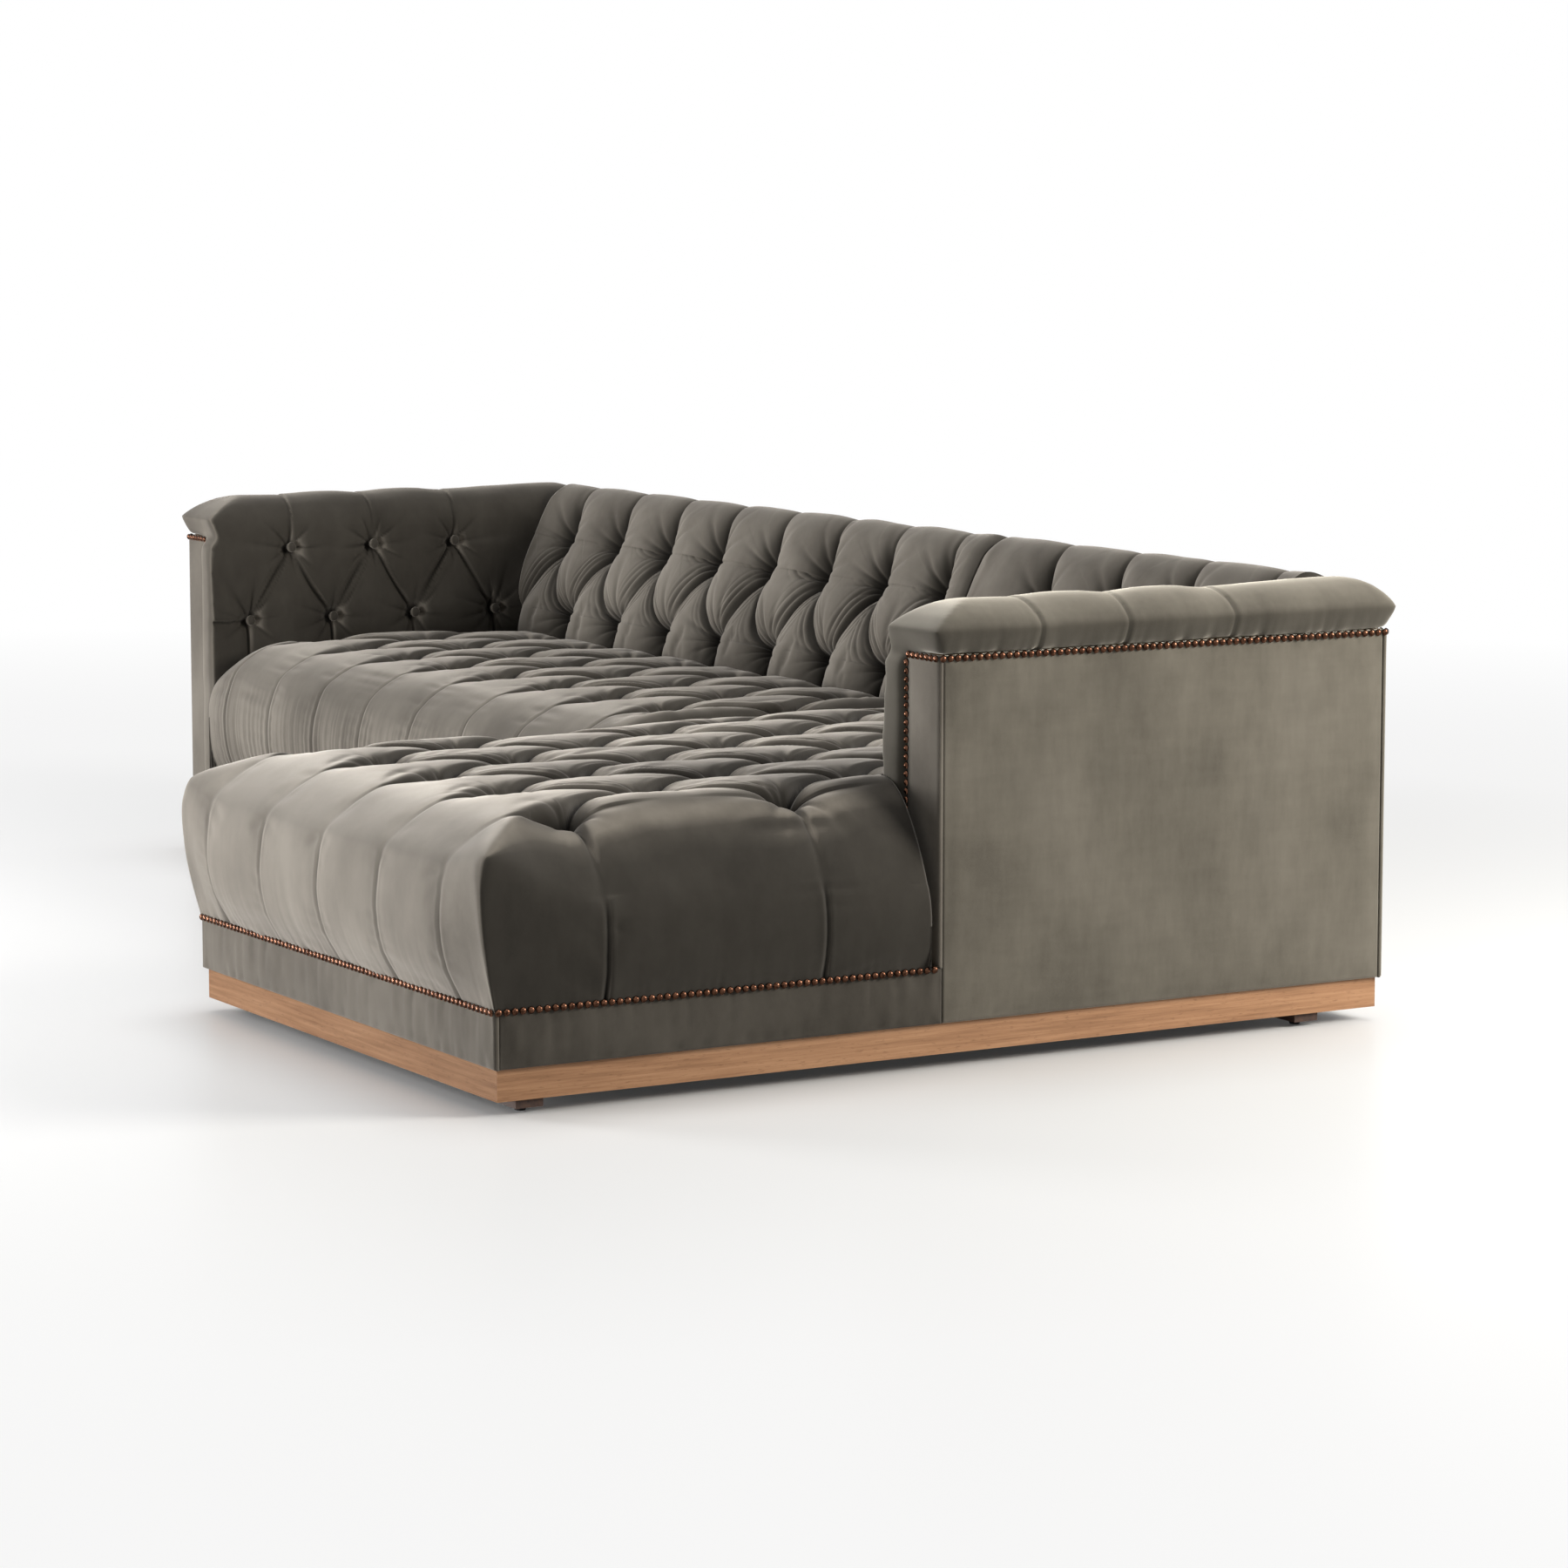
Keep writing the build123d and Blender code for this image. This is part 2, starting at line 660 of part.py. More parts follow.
arm_panel = Plane((arm_x, 0, arm_lower_row), x_dir=(0, -1, 0), z_dir=(-1, 0, 0))
arm_tufts = [(-y, arm_row_step) for y in arm_upper_ys] + [(-y, 0) for y in arm_lower_ys]
arm_floor = -arm_sink - arm_pit
with BuildPart() as right_arm_pad:
    add(diamond_field(arm_panel, arm_tufts[-1], arm_pitch, arm_row_step, arm_sink,
                      ((-arm_stop_y, 0), (-arm_start_y, 0), (-arm_start_y, arm_row_step),
                       (-arm_stop_y, arm_row_step)), arm_board_x - arm_x))
    for pleats, pillow in ((arm_upper_ys, arm_upper_pillow), (arm_lower_ys, arm_lower_pillow)):
        pillow(to_end(pleats[0], arm_start_y))
        for low_y, high_y in zip(pleats, pleats[1:]):
            pillow(between(low_y, high_y))
        pillow(to_end(pleats[-1], arm_stop_y))
    add(arm_ends.part, mode=Mode.INTERSECT)
    block(facing_x, side_x, arm_start_y - roll_overhang, sofa_y + cover, pad_z, panel_z, mode=Mode.SUBTRACT)
    pits(arm_panel, arm_tufts, arm_floor, arm_sink + arm_pit)

with BuildPart() as right_arm_post:
    block(side_x - cover - rail_thickness, side_x - cover, sofa_y + cover, sofa_y + cover + post_width,
          web_z, panel_z - top_rail_height)

with BuildPart() as right_arm_top_rail:
    block(side_x - cover - rail_thickness, side_x - cover, sofa_y + cover, post_y,
          panel_z - top_rail_height, panel_z)

with BuildPart() as right_arm_board:
    block(arm_board_x, arm_board_x + board_thickness, sofa_y + cover, post_y, pad_z, panel_z)

with BuildPart() as right_arm_outside:
    block(side_x - cover, side_x, sofa_y + cover, frame_rear_y, rail_z, panel_z)

arm_pieces = {
    "arm_pad": right_arm_pad,
    "arm_post": right_arm_post,
    "arm_top_rail": right_arm_top_rail,
    "arm_board": right_arm_board,
    "arm_outside": right_arm_outside,
}
for name, piece in arm_pieces.items():
    save(f"right_{name}", piece)
    with BuildPart() as left_piece:
        mirror(piece.part, about=Plane.YZ)
    save(f"left_{name}", left_piece)

# The left facing runs down to the plinth, the right one to the chaise's rail
with BuildPart() as right_arm_facing:
    block(facing_x, side_x, sofa_y, sofa_y + cover, pad_z, panel_z)
save("right_arm_facing", right_arm_facing)

with BuildPart() as left_arm_facing:
    block(-side_x, -facing_x, sofa_y, sofa_y + cover, rail_z, panel_z)
save("left_arm_facing", left_arm_facing)

# Covered buttons of each section
left_arm_panel = Plane((-arm_x, 0, arm_lower_row), x_dir=(0, 1, 0), z_dir=(1, 0, 0))
left_arm_tufts = [(-u, v) for u, v in arm_tufts]
button_sets = {
    "sofa_buttons": ((seat_panel, sofa_tufts, seat_floor), (back_panel, back_tufts["sofa"], back_floor),
                     (left_arm_panel, left_arm_tufts, arm_floor)),
    "chaise_buttons": ((seat_panel, chaise_tufts, seat_floor), (back_panel, back_tufts["chaise"], back_floor),
                       (arm_panel, arm_tufts, arm_floor)),
}
for name, panels in button_sets.items():
    with BuildPart() as buttons:
        for panel, tufts, floor in panels:
            set_buttons(panel, tufts, floor)
    save(name, buttons)

# Connectors between the plinths: forks on the sofa take pins on the chaise
fork_x = sofa_end_x - cover
pin_plate_x = split_x + cover
pin_x = (fork_x + pin_plate_x) / 2
connector_z = plinth_z + plinth_height / 2
connector_ys = (connector_front, connector_rear)

with BuildPart() as connector_forks:
    for fork_y in connector_ys:
        tongue_x = fork_x + connector_plate
        slot_radius = connector_pin_radius + connector_clear
        block(fork_x, tongue_x, fork_y - connector_width / 2, fork_y + connector_width / 2,
              connector_z - connector_height / 2, connector_z + connector_height / 2)
        block(tongue_x, pin_plate_x - connector_plate - connector_clear, fork_y - connector_width / 3,
              fork_y + connector_width / 3, connector_z - connector_plate / 2, connector_z + connector_plate / 2)
        block(pin_x, pin_plate_x, fork_y - slot_radius, fork_y + slot_radius,
              connector_z - connector_plate, connector_z + connector_plate, mode=Mode.SUBTRACT)
        with Locations((pin_x, fork_y, connector_z)):
            Cylinder(slot_radius, 2 * connector_plate, mode=Mode.SUBTRACT)
save("connector_forks", connector_forks)

with BuildPart() as connector_pins:
    for pin_y in connector_ys:
        block(pin_plate_x - connector_plate, pin_plate_x, pin_y - connector_width / 2, pin_y + connector_width / 2,
              connector_z - connector_height / 2, connector_z + connector_height / 2)
        for way in (-1, 1):
            ear_z = connector_z + way * (connector_ear_gap + connector_plate) / 2
            block(fork_x + connector_plate + connector_clear, pin_plate_x - connector_plate,
                  pin_y - connector_width / 4, pin_y + connector_width / 4,
                  ear_z - connector_plate / 2, ear_z + connector_plate / 2)
        with Locations((pin_x, pin_y, connector_z)):
            Cylinder(connector_pin_radius, connector_ear_gap)
save("connector_pins", connector_pins)
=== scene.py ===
import math

import bmesh
import bpy
import numpy as np
from mathutils import Matrix, Vector

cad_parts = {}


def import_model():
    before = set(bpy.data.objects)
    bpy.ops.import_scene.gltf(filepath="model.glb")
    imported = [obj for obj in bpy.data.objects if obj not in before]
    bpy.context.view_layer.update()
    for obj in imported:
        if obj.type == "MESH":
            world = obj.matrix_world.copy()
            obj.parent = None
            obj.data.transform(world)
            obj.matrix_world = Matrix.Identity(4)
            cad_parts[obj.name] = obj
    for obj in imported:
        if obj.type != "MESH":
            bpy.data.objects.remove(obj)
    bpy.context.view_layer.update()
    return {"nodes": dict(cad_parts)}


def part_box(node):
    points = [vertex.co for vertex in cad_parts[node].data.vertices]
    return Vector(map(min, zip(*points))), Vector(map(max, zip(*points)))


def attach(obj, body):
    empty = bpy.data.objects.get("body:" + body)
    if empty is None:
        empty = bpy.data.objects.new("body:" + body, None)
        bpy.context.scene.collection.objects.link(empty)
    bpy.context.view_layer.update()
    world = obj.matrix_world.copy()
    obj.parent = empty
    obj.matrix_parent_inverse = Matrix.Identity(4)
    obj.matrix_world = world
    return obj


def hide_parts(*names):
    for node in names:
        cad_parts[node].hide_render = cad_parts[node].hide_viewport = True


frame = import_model()
nodes = frame["nodes"]


def low(node):
    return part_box(node)[0]


def high(node):
    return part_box(node)[1]


# levels and faces that the pieces share, read from the frame
padZ = high("chaise_border_front").z
crownZ = high("sofa_seat_pad").z
panelZ = high("right_arm_outside").z
topZ = high("right_arm_pad").z
sideX = high("right_arm_outside").x
splitX = low("chaise_border_front").x
sofaEndX = high("sofa_border_front").x
armX = low("right_arm_pad").x
facingX = low("right_arm_facing").x
chaiseY = low("chaise_border_front").y
sofaY = low("sofa_border_front").y
armFrontY = low("right_arm_pad").y
rearY = high("sofa_outside_back").y
rollY = high("sofa_back_pad").y
boardY = low("sofa_back_board").y
print("frame read")


# shader sockets as values


class Value:
    def __init__(self, tree, socket):
        self.tree = tree
        self.socket = socket

    def node(self, kind, settings=None, out=0, **inputs):
        made = self.tree.nodes.new(kind)
        for key, setting in (settings or {}).items():
            if key == "stops":
                band = made.color_ramp
                while len(band.elements) < len(setting):
                    band.elements.new(0.5)
                for element, (place, colour) in zip(band.elements, setting):
                    element.position = place
                    element.color = (*colour, 1)
            else:
                setattr(made, key, setting)
        for key, value in inputs.items():
            name = key.replace("_", " ")
            socket = made.inputs[int(key[1:])] if key[1:].isdigit() else made.inputs[name]
            if isinstance(value, Value):
                self.tree.links.new(value.socket, socket)
            else:
                socket.default_value = value
        return Value(self.tree, made.outputs[out])

    def maths(self, operation, first, second):
        return self.node("ShaderNodeMath", {"operation": operation}, i0=first, i1=second)

    def __add__(self, other):
        return self.maths("ADD", self, other)

    def __mul__(self, other):
        return self.maths("MULTIPLY", self, other)


def newMaterial(name):
    made = bpy.data.materials.new(name)
    made.use_nodes = True
    tree = made.node_tree
    shader = tree.nodes["Principled BSDF"]
    coords = tree.nodes.new("ShaderNodeTexCoord")
    return made, tree, shader, Value(tree, coords.outputs["Object"])


def stretched(place, scale):
    return place.node("ShaderNodeMapping", Vector=place, Scale=scale)


def noise(place, scale, detail=3, roughness=0.5):
    return place.node("ShaderNodeTexNoise", Vector=place, Scale=scale, Detail=detail, Roughness=roughness)


def ramp(value, *stops):
    return value.node("ShaderNodeValToRGB", {"stops": stops}, Fac=value)


def grey(level):
    return (level, level, level)


def mixed(share, first, second, blend="MIX"):
    tree = first.tree if isinstance(first, Value) else share.tree
    made = tree.nodes.new("ShaderNodeMix")
    made.data_type = "RGBA"
    made.blend_type = blend
    for index, value in ((0, share), (6, first), (7, second)):
        if isinstance(value, Value):
            tree.links.new(value.socket, made.inputs[index])
        else:
            made.inputs[index].default_value = value if index == 0 else (*value, 1)
    return Value(tree, made.outputs[2])


def feed(tree, shader, **sockets):
    for key, value in sockets.items():
        socket = shader.inputs[key.replace("_", " ")]
        if isinstance(value, Value):
            tree.links.new(value.socket, socket)
        else:
            socket.default_value = value


def bump(height, strength, distance):
    return height.node("ShaderNodeBump", Height=height, Strength=strength, Distance=distance)


velvetLook = {
    "deep": (0.104, 0.092, 0.077), "body": (0.146, 0.130, 0.109), "brushed": (0.188, 0.169, 0.143),
    # painted light and shade by how the cloth faces, from cloth that faces away from the painted light to
    # cloth that faces towards it
    "shade": ((0.22, 0.29), (0.33, 0.46), (0.44, 0.9), (0.56, 0.84), (0.7, 0.62), (0.84, 0.6), (0.93, 1.0)),
    "streaks": (0.14, 0.06, 0.80), "warp": (34, 34, 12), "weft": (22, 22, 30), "patches": (5.5, 5.5, 3.6),
    # the last value on the next line is the tone of the painted shade in the deepest creases and pits
    "pileGrain": 1000, "grainRelief": 0.22, "grainHeight": 0.0006, "paintedShadeTone": 0.22,
    "sheen": 0.35, "sheenRoughness": 0.42, "sheenTint": (1.0, 0.94, 0.87, 1),
}
# painted light on the backs falls from the left and front, with its own ramp of painted light and shade
backLook = {**velvetLook, "shade": ((0.28, 0.20), (0.42, 0.38), (0.64, 0.74), (0.86, 1.14))}
# painted light: the top of the chaise is painted lighter than its side, with more sheen
chaiseLook = {
    **velvetLook, "sheen": 0.6,
    "shade": ((0.18, 0.23), (0.31, 0.36), (0.46, 1.12), (0.58, 1.14), (0.7, 0.84), (0.81, 0.7), (0.93, 1.0)),
}
# the flat panels are brushed, with their own streaks and a darker body, and are painted lighter by the
# painted light on their faces
brushedLook = {
    **velvetLook,
    "deep": (0.096, 0.086, 0.070), "body": (0.132, 0.119, 0.097), "brushed": (0.168, 0.152, 0.126),
    "shade": ((0.28, 0.22), (0.48, 0.68), (0.66, 0.92), (0.92, 1.06)),
    "streaks": (0.18, 0.12, 0.70), "warp": (70, 70, 16), "weft": (12, 12, 60),
    "sheen": 0.9, "sheenRoughness": 0.40, "sheenTint": (1.0, 0.94, 0.83, 1),
}
# painted light on the right arm's roll: pale on top and painted darker on its outer side
rollLook = {**brushedLook, "shade": ((0.20, 0.46), (0.36, 0.50), (0.66, 0.80), (0.80, 1.10), (0.91, 1.60))}


def velvetMaterial(name, look):
    made, tree, shader, place = newMaterial(name)
    warp = noise(stretched(place, look["warp"]), 1.0, 4, 0.62)
    weft = noise(stretched(place, look["weft"]), 1.0, 4, 0.60)
    patches = noise(stretched(place, look["patches"]), 1.0, 5, 0.62)
    grain = noise(place, look["pileGrain"], 2, 0.6)
    fine, cross, broad = look["streaks"]
    brushing = warp * fine + weft * cross + patches * broad
    tone = ramp(brushing, (0.36, look["deep"]), (0.50, look["body"]), (0.64, look["brushed"]))
    tone = mixed(ramp(grain, (0.35, grey(0.0)), (0.75, grey(0.40))), tone, look["brushed"])
    # painted light and shade: darker where the cloth faces away from the painted light, and painted shade
    # where it lies deep in a pleat or pit
    nap = place.node("ShaderNodeAttribute", {"attribute_name": "nap"}, out=2)
    hollow = place.node("ShaderNodeAttribute", {"attribute_name": "hollow"}, out=2)
    tone = mixed(1.0, tone, ramp(nap, *((spot, grey(level)) for spot, level in look["shade"])), "MULTIPLY")
    tone = mixed(1.0, tone, ramp(hollow, (0.0, grey(1.0)), (0.85, grey(look["paintedShadeTone"]))), "MULTIPLY")
    feed(tree, shader, Base_Color=tone, Roughness=0.95, Sheen_Weight=look["sheen"],
         Sheen_Roughness=look["sheenRoughness"], Sheen_Tint=look["sheenTint"], Specular_IOR_Level=0.06,
         Normal=bump(grain + warp * 0.8, look["grainRelief"], look["grainHeight"]))
    return made


velvet = velvetMaterial("velvet", velvetLook)
backVelvet = velvetMaterial("velvet_back", backLook)
brushedVelvet = velvetMaterial("velvet_brushed", brushedLook)
leftVelvet = velvetMaterial("velvet_left", brushedLook)
chaiseVelvet = velvetMaterial("velvet_chaise", chaiseLook)
rollVelvet = velvetMaterial("velvet_roll", rollLook)
# the direction of the painted light on each velvet: towards the front on the pads, outwards on the brushed
# pieces
paintedLightFrom = {
    velvet.name: (-0.80, -0.80, -0.14), backVelvet.name: (-0.64, -0.40, -0.10),
    brushedVelvet.name: (0.62, 0.36, 0.66), leftVelvet.name: (-0.62, 0.36, 0.66),
    chaiseVelvet.name: (-0.80, -0.80, -0.14), rollVelvet.name: (-0.30, 0.55, 0.78),
}
# how much painted highlight the chaise gets where its top rolls over the side
rimHighlight = {chaiseVelvet.name: 0.55}
woodLook = {"pale": (0.345, 0.190, 0.100), "body": (0.265, 0.136, 0.067), "dark": (0.150, 0.070, 0.031)}


def drawnOut(along, lengthwise, crosswise):
    # texture scales for a grain that runs along one axis
    return tuple(lengthwise if axis == along else crosswise for axis in range(3))


def beechMaterial(name, along, share, gloss):
    made, tree, shader, place = newMaterial(name)
    look = {key: tuple(share * part for part in tone) for key, tone in woodLook.items()}
    grain = noise(stretched(place, drawnOut(along, 6, 190)), 1.0, 5, 0.65)
    broad = noise(stretched(place, drawnOut(along, 1.5, 28)), 1.0, 3, 0.5)
    fleck = noise(stretched(place, drawnOut(along, 70, 420)), 1.0, 2, 0.5)
    tone = ramp(grain * 0.6 + broad * 0.4, (0.30, look["dark"]), (0.50, look["body"]), (0.68, look["pale"]))
    tone = mixed(ramp(fleck, (0.60, grey(0.0)), (0.72, grey(0.55))), tone, look["dark"])
    feed(tree, shader, Base_Color=tone, Roughness=ramp(grain, (0.3, grey(0.62)), (0.7, grey(0.48))),
         Specular_IOR_Level=gloss, Normal=bump(grain + fleck * 0.5, 0.12, 0.0006))
    return made


def plainWood(name, dark, pale, along):
    made, tree, shader, place = newMaterial(name)
    grain = noise(stretched(place, drawnOut(along, 8, 120)), 1.0, 4, 0.6)
    feed(tree, shader, Base_Color=ramp(grain, (0.3, dark), (0.7, pale)), Roughness=0.6,
         Normal=bump(grain, 0.15, 0.0008))
    return made


def wovenMaterial(name, dark, pale, pitch):
    made, tree, shader, place = newMaterial(name)
    warp, weft = (place.node("ShaderNodeTexWave", {"bands_direction": way}, Vector=place, Scale=1 / pitch,
                             Distortion=0.4) for way in "XY")
    weave = warp * 0.5 + weft * 0.5
    feed(tree, shader, Base_Color=ramp(weave, (0.2, dark), (0.8, pale)), Roughness=0.85,
         Normal=bump(weave, 0.3, 0.0008))
    return made


def metalMaterial(name, tones, rough, metallic=1.0):
    made, tree, shader, place = newMaterial(name)
    patina = noise(place, 160, 3, 0.6)
    fine = noise(place, 1400, 2, 0.5)
    feed(tree, shader, Base_Color=ramp(patina, (0.35, tones[0]), (0.65, tones[1])), Metallic=metallic,
         Roughness=ramp(fine * 0.5 + patina * 0.5, (0.35, grey(rough[0])), (0.65, grey(rough[1]))),
         Normal=bump(fine, 0.05, 0.0003))
    return made


# painted light: the boards along x (front and rear) are painted darker and the boards along y (the sides)
# lighter, by their share of the wood's tones
beechX = beechMaterial("beech_along_x", 0, 0.72, 0.12)
beechY = beechMaterial("beech_along_y", 1, 1.42, 0.4)
darkWood = plainWood("dark_wood", (0.028, 0.012, 0.007), (0.075, 0.033, 0.018), 0)
frameWood = plainWood("frame_wood", (0.36, 0.23, 0.12), (0.56, 0.40, 0.24), 0)
webbingCloth = wovenMaterial("webbing_cloth", (0.05, 0.042, 0.035), (0.15, 0.128, 0.105), 0.004)
dustCloth = wovenMaterial("dust_cloth", (0.012, 0.012, 0.012), (0.035, 0.035, 0.036), 0.0025)
glidePlastic = metalMaterial("glide_plastic", (grey(0.018), grey(0.03)), (0.4, 0.55), 0.0)
zincSteel = metalMaterial("zinc_steel", (grey(0.42), grey(0.6)), (0.3, 0.45))
copper = metalMaterial("antique_copper", ((0.040, 0.017, 0.010), (0.150, 0.070, 0.042)), (0.20, 0.30))

nodeFinish = {
    "plinth_front": beechX, "plinth_rear": beechX, "plinth_left": beechY, "plinth_right": beechY,
    "feet": darkWood, "glides": glidePlastic, "webbing": webbingCloth, "dust_cover": dustCloth,
    "connector_forks": zincSteel, "connector_pins": zincSteel,
}
for name, obj in nodes.items():
    finish = frameWood
    for ending, material in nodeFinish.items():
        if name.endswith(ending):
            finish = material
    obj.data.materials.clear()
    obj.data.materials.append(finish)
print("materials made")


# shapes of padded velvet


def smoothLine(points, samples=600):
    # a smooth line through a few points, and the length along it
    given = np.array(points, float)
    ends = np.vstack([2 * given[0] - given[1], given, 2 * given[-1] - given[-2]])
    place = np.linspace(0, len(given) - 1, samples)
    span = np.minimum(place.astype(int), len(given) - 2)
    part = (place - span)[:, None]
    a, b, c, d = ends[span], ends[span + 1], ends[span + 2], ends[span + 3]
    line = 0.5 * (2 * b + (c - a) * part + (2 * a - 5 * b + 4 * c - d) * part**2
                  + (3 * b - a - 3 * c + d) * part**3)
    length = np.concatenate([[0], np.cumsum(np.hypot(*np.diff(line, axis=0).T))])
    return line, length


def ease(value, start, stop):
    part = np.clip((value - start) / (stop - start), 0, 1)
    return part * part * (3 - 2 * part)


def toPleat(phase, lean=1.0):
    # 1 on a pleat and 0 half way to the next; a lean under 1 rolls each pillow over its near pleat
    part = (phase - np.floor(phase))**lean
    return np.abs(2 * part - 1)


def roundOff(part, power, edge=0.97):
    # a pillow's profile: 0 on its crown and 1 in the pleat, steepest beside the pleat
    return (1 - np.sqrt(1 - edge * np.clip(part, 0, 1)**power)) / (1 - math.sqrt(1 - edge))


def before(phase, lean):
    # true on the half of each pillow that comes just before a pleat
    return (phase - np.floor(phase))**lean > 0.5


def pillow(part, steep, cfg):
    # the cloth falls steeply on the side that is folded under, and gently on the other
    return np.where(steep, roundOff(part, cfg["steep"]), roundOff(part, cfg["crown"], cfg["edge"]))


def scatter(first, second, seed):
    wild = np.sin(first * 12.9898 + second * 78.233 + seed * 37.719) * 43758.5453
    return wild - np.floor(wild)


def smoothNoise(s, t, size, seed):
    # gentle seeded noise from -1 to 1, over a lattice of the given size
    a, b = s / size, t / size
    i, j = np.floor(a), np.floor(b)
    fa, fb = a - i, b - j
    fa, fb = fa * fa * (3 - 2 * fa), fb * fb * (3 - 2 * fb)
    near = scatter(i, j, seed) * (1 - fa) + scatter(i + 1, j, seed) * fa
    far = scatter(i, j + 1, seed) * (1 - fa) + scatter(i + 1, j + 1, seed) * fa
    return 2 * (near * (1 - fb) + far * fb) - 1


def foldLine(turn):
    # round folds with narrow creases between them
    return np.exp(1.6 * (np.cos(turn) - 1)) - 0.45


def diagonals(s, t, tuft, pitch, step, cfg):
    # both families of diagonal pleats, bowed between their tufts; a link is a pleat from one tuft to the next
    a = (s - tuft[0]) / pitch
    b = (t - tuft[1]) / (2 * step)
    spacing = 1 / math.hypot(1 / pitch, 0.5 / step)
    for own, other, seed, bow in ((a + b, a - b, 1, cfg["bow"][0]), (b - a, a + b, 2, cfg["bow"][1])):
        line = np.round(own)
        link = np.floor(other)
        along = other - link
        belly = np.clip(4 * along * (1 - along), 0, 1)
        bent = own + bow * belly * (0.4 + 0.6 * scatter(line, link, seed)) / spacing
        yield seed, bent, line, link, along, belly, (bent - line) * spacing


def diamondDepth(s, t, tuft, pitch, step, cfg, fine):
    # pillows between diagonal pleats, with fine folds that run from tuft to tuft along each pleat
    depth = np.zeros_like(s)
    for seed, own, line, link, along, belly, off in diagonals(s, t, tuft, pitch, step, cfg):
        steep = before(own, cfg["lean"]) if seed == 1 else ~before(own, cfg["lean"])
        share = cfg["share"] if seed == 1 else 1 - cfg["share"]
        hung = 1 - cfg["saddle"] * belly
        depth += share * cfg["sink"] * hung * pillow(toPleat(own, cfg["lean"]), steep, cfg)
        depth += cfg["slit"] * np.exp(-(off / cfg["slitWidth"])**2) * (0.35 + 0.65 * belly)
        # the folds, counted across the pleat
        width = cfg["foldWidth"] * (0.22 + 0.78 * belly**0.7) * (0.75 + 0.5 * scatter(line, link, seed + 3))
        across = off / width - cfg["foldSide"]
        window = np.clip(1 - across * across, 0, 1)**1.3
        count = cfg["folds"] + 1.4 * scatter(line, link, seed + 5)
        turn = math.pi * count * across + 6.28 * scatter(line, link, seed + 9) + 0.9 * along
        turn += 2.0 * smoothNoise(2.2 * across + 7 * line, 1.6 * along + 5 * link, 1, seed + 20)
        strong = 0.55 + 0.75 * scatter(line, link, seed + 7)
        strong *= 0.65 + 0.55 * smoothNoise(3.1 * across + 3 * line, 2.3 * along + 9 * link, 1, seed + 30)
        depth += fine * cfg["foldHeight"] * strong * window * (0.35 + 0.65 * belly) * foldLine(turn)
    return depth


def tuftDepth(s, t, tufts, cfg, seed, fine):
    # button pits with short creases fanning out of them
    depth = np.zeros_like(s)
    for number, (tuftS, tuftT) in enumerate(tufts):
        ds, dt = s - tuftS, t - tuftT
        r = np.hypot(ds, dt)
        near = r < 4 * cfg["fan"]
        r, ds, dt = r[near], ds[near], dt[near]
        pit = cfg["pit"] * np.exp(-(r / cfg["pitWidth"])**2)
        ending = np.clip(1 - (r / cfg["funnelEnd"])**2, 0, 1)**2
        pit += cfg["funnel"] * np.exp(-r / cfg["funnelReach"]) * ending
        angle = np.arctan2(dt, ds)
        creases = cfg["creases"] + math.floor(4 * scatter(number, 1.0, seed))
        swing = 1.6 * np.sin(angle + 6.28 * scatter(number, 2.0, seed))
        wave = foldLine(creases * angle + swing + 6.28 * scatter(number, 3.0, seed))
        uneven = 0.8 + 0.4 * scatter(number, np.floor(angle * 2), seed)
        out = r / (cfg["fan"] * (1 + cfg["rise"] * np.sin(angle)) * uneven)
        pit += fine * cfg["creaseHeight"] * out * np.exp(1 - out) * np.exp(-out**2 / 6) * wave
        depth[near] += pit
    return depth


def meshOf(shape, name):
    mesh = bpy.data.meshes.new(name)
    shape.to_mesh(mesh)
    shape.free()
    return mesh


def placed(name, data):
    obj = bpy.data.objects.new(name, data)
    bpy.context.scene.collection.objects.link(obj)
    return obj


def readPoints(mesh):
    flat = np.empty(len(mesh.vertices) * 3)
    mesh.vertices.foreach_get("co", flat)
    return flat.reshape(-1, 3)


def readNormals(mesh):
    flat = np.empty(len(mesh.vertices) * 3)
    mesh.vertices.foreach_get("normal", flat)
    return flat.reshape(-1, 3)


def writePoints(mesh, points):
    mesh.vertices.foreach_set("co", points.ravel())
    mesh.update()


def keepValues(mesh, name, values):
    layer = mesh.attributes.new(name, "FLOAT", "POINT")
    layer.data.foreach_set("value", values.astype(np.float32))


def relaxed(mesh, points, share, rounds):
    # each point moves towards the middle of its neighbours, by its own share
    pairs = np.empty(len(mesh.edges) * 2, dtype=np.int64)
    mesh.edges.foreach_get("vertices", pairs)
    first, second = pairs.reshape(-1, 2).T
    count = np.bincount(pairs, minlength=len(points))[:, None]
    for _ in range(rounds):
        total = np.zeros_like(points)
        np.add.at(total, first, points[second])
        np.add.at(total, second, points[first])
        points = points + share[:, None] * (total / np.maximum(count, 1) - points)
    return points


def gridMesh(name, uCells, vCells, keep):
    shape = bmesh.new()
    bmesh.ops.create_grid(shape, x_segments=uCells, y_segments=vCells, size=0.5)
    if keep:
        gone = [f for f in shape.faces if not keep(*(f.calc_center_median().xy + Vector((0.5, 0.5))))]
        bmesh.ops.delete(shape, geom=gone, context="FACES")
    mesh = meshOf(shape, name)
    flat = readPoints(mesh)
    return mesh, flat[:, 0] + 0.5, flat[:, 1] + 0.5


def pressedIn(place, depthAt, u, v, fine):
    # a smooth form pressed in along its own normals
    step = 1e-4
    points = place(u, v)
    across = place(u + step, v) - place(u - step, v)
    along = place(u, v + step) - place(u, v - step)
    outward = np.cross(across, along)
    outward /= np.maximum(np.linalg.norm(outward, axis=1), 1e-12)[:, None]
    depth = depthAt(u, v, points, fine)
    return points - outward * depth[:, None], depth


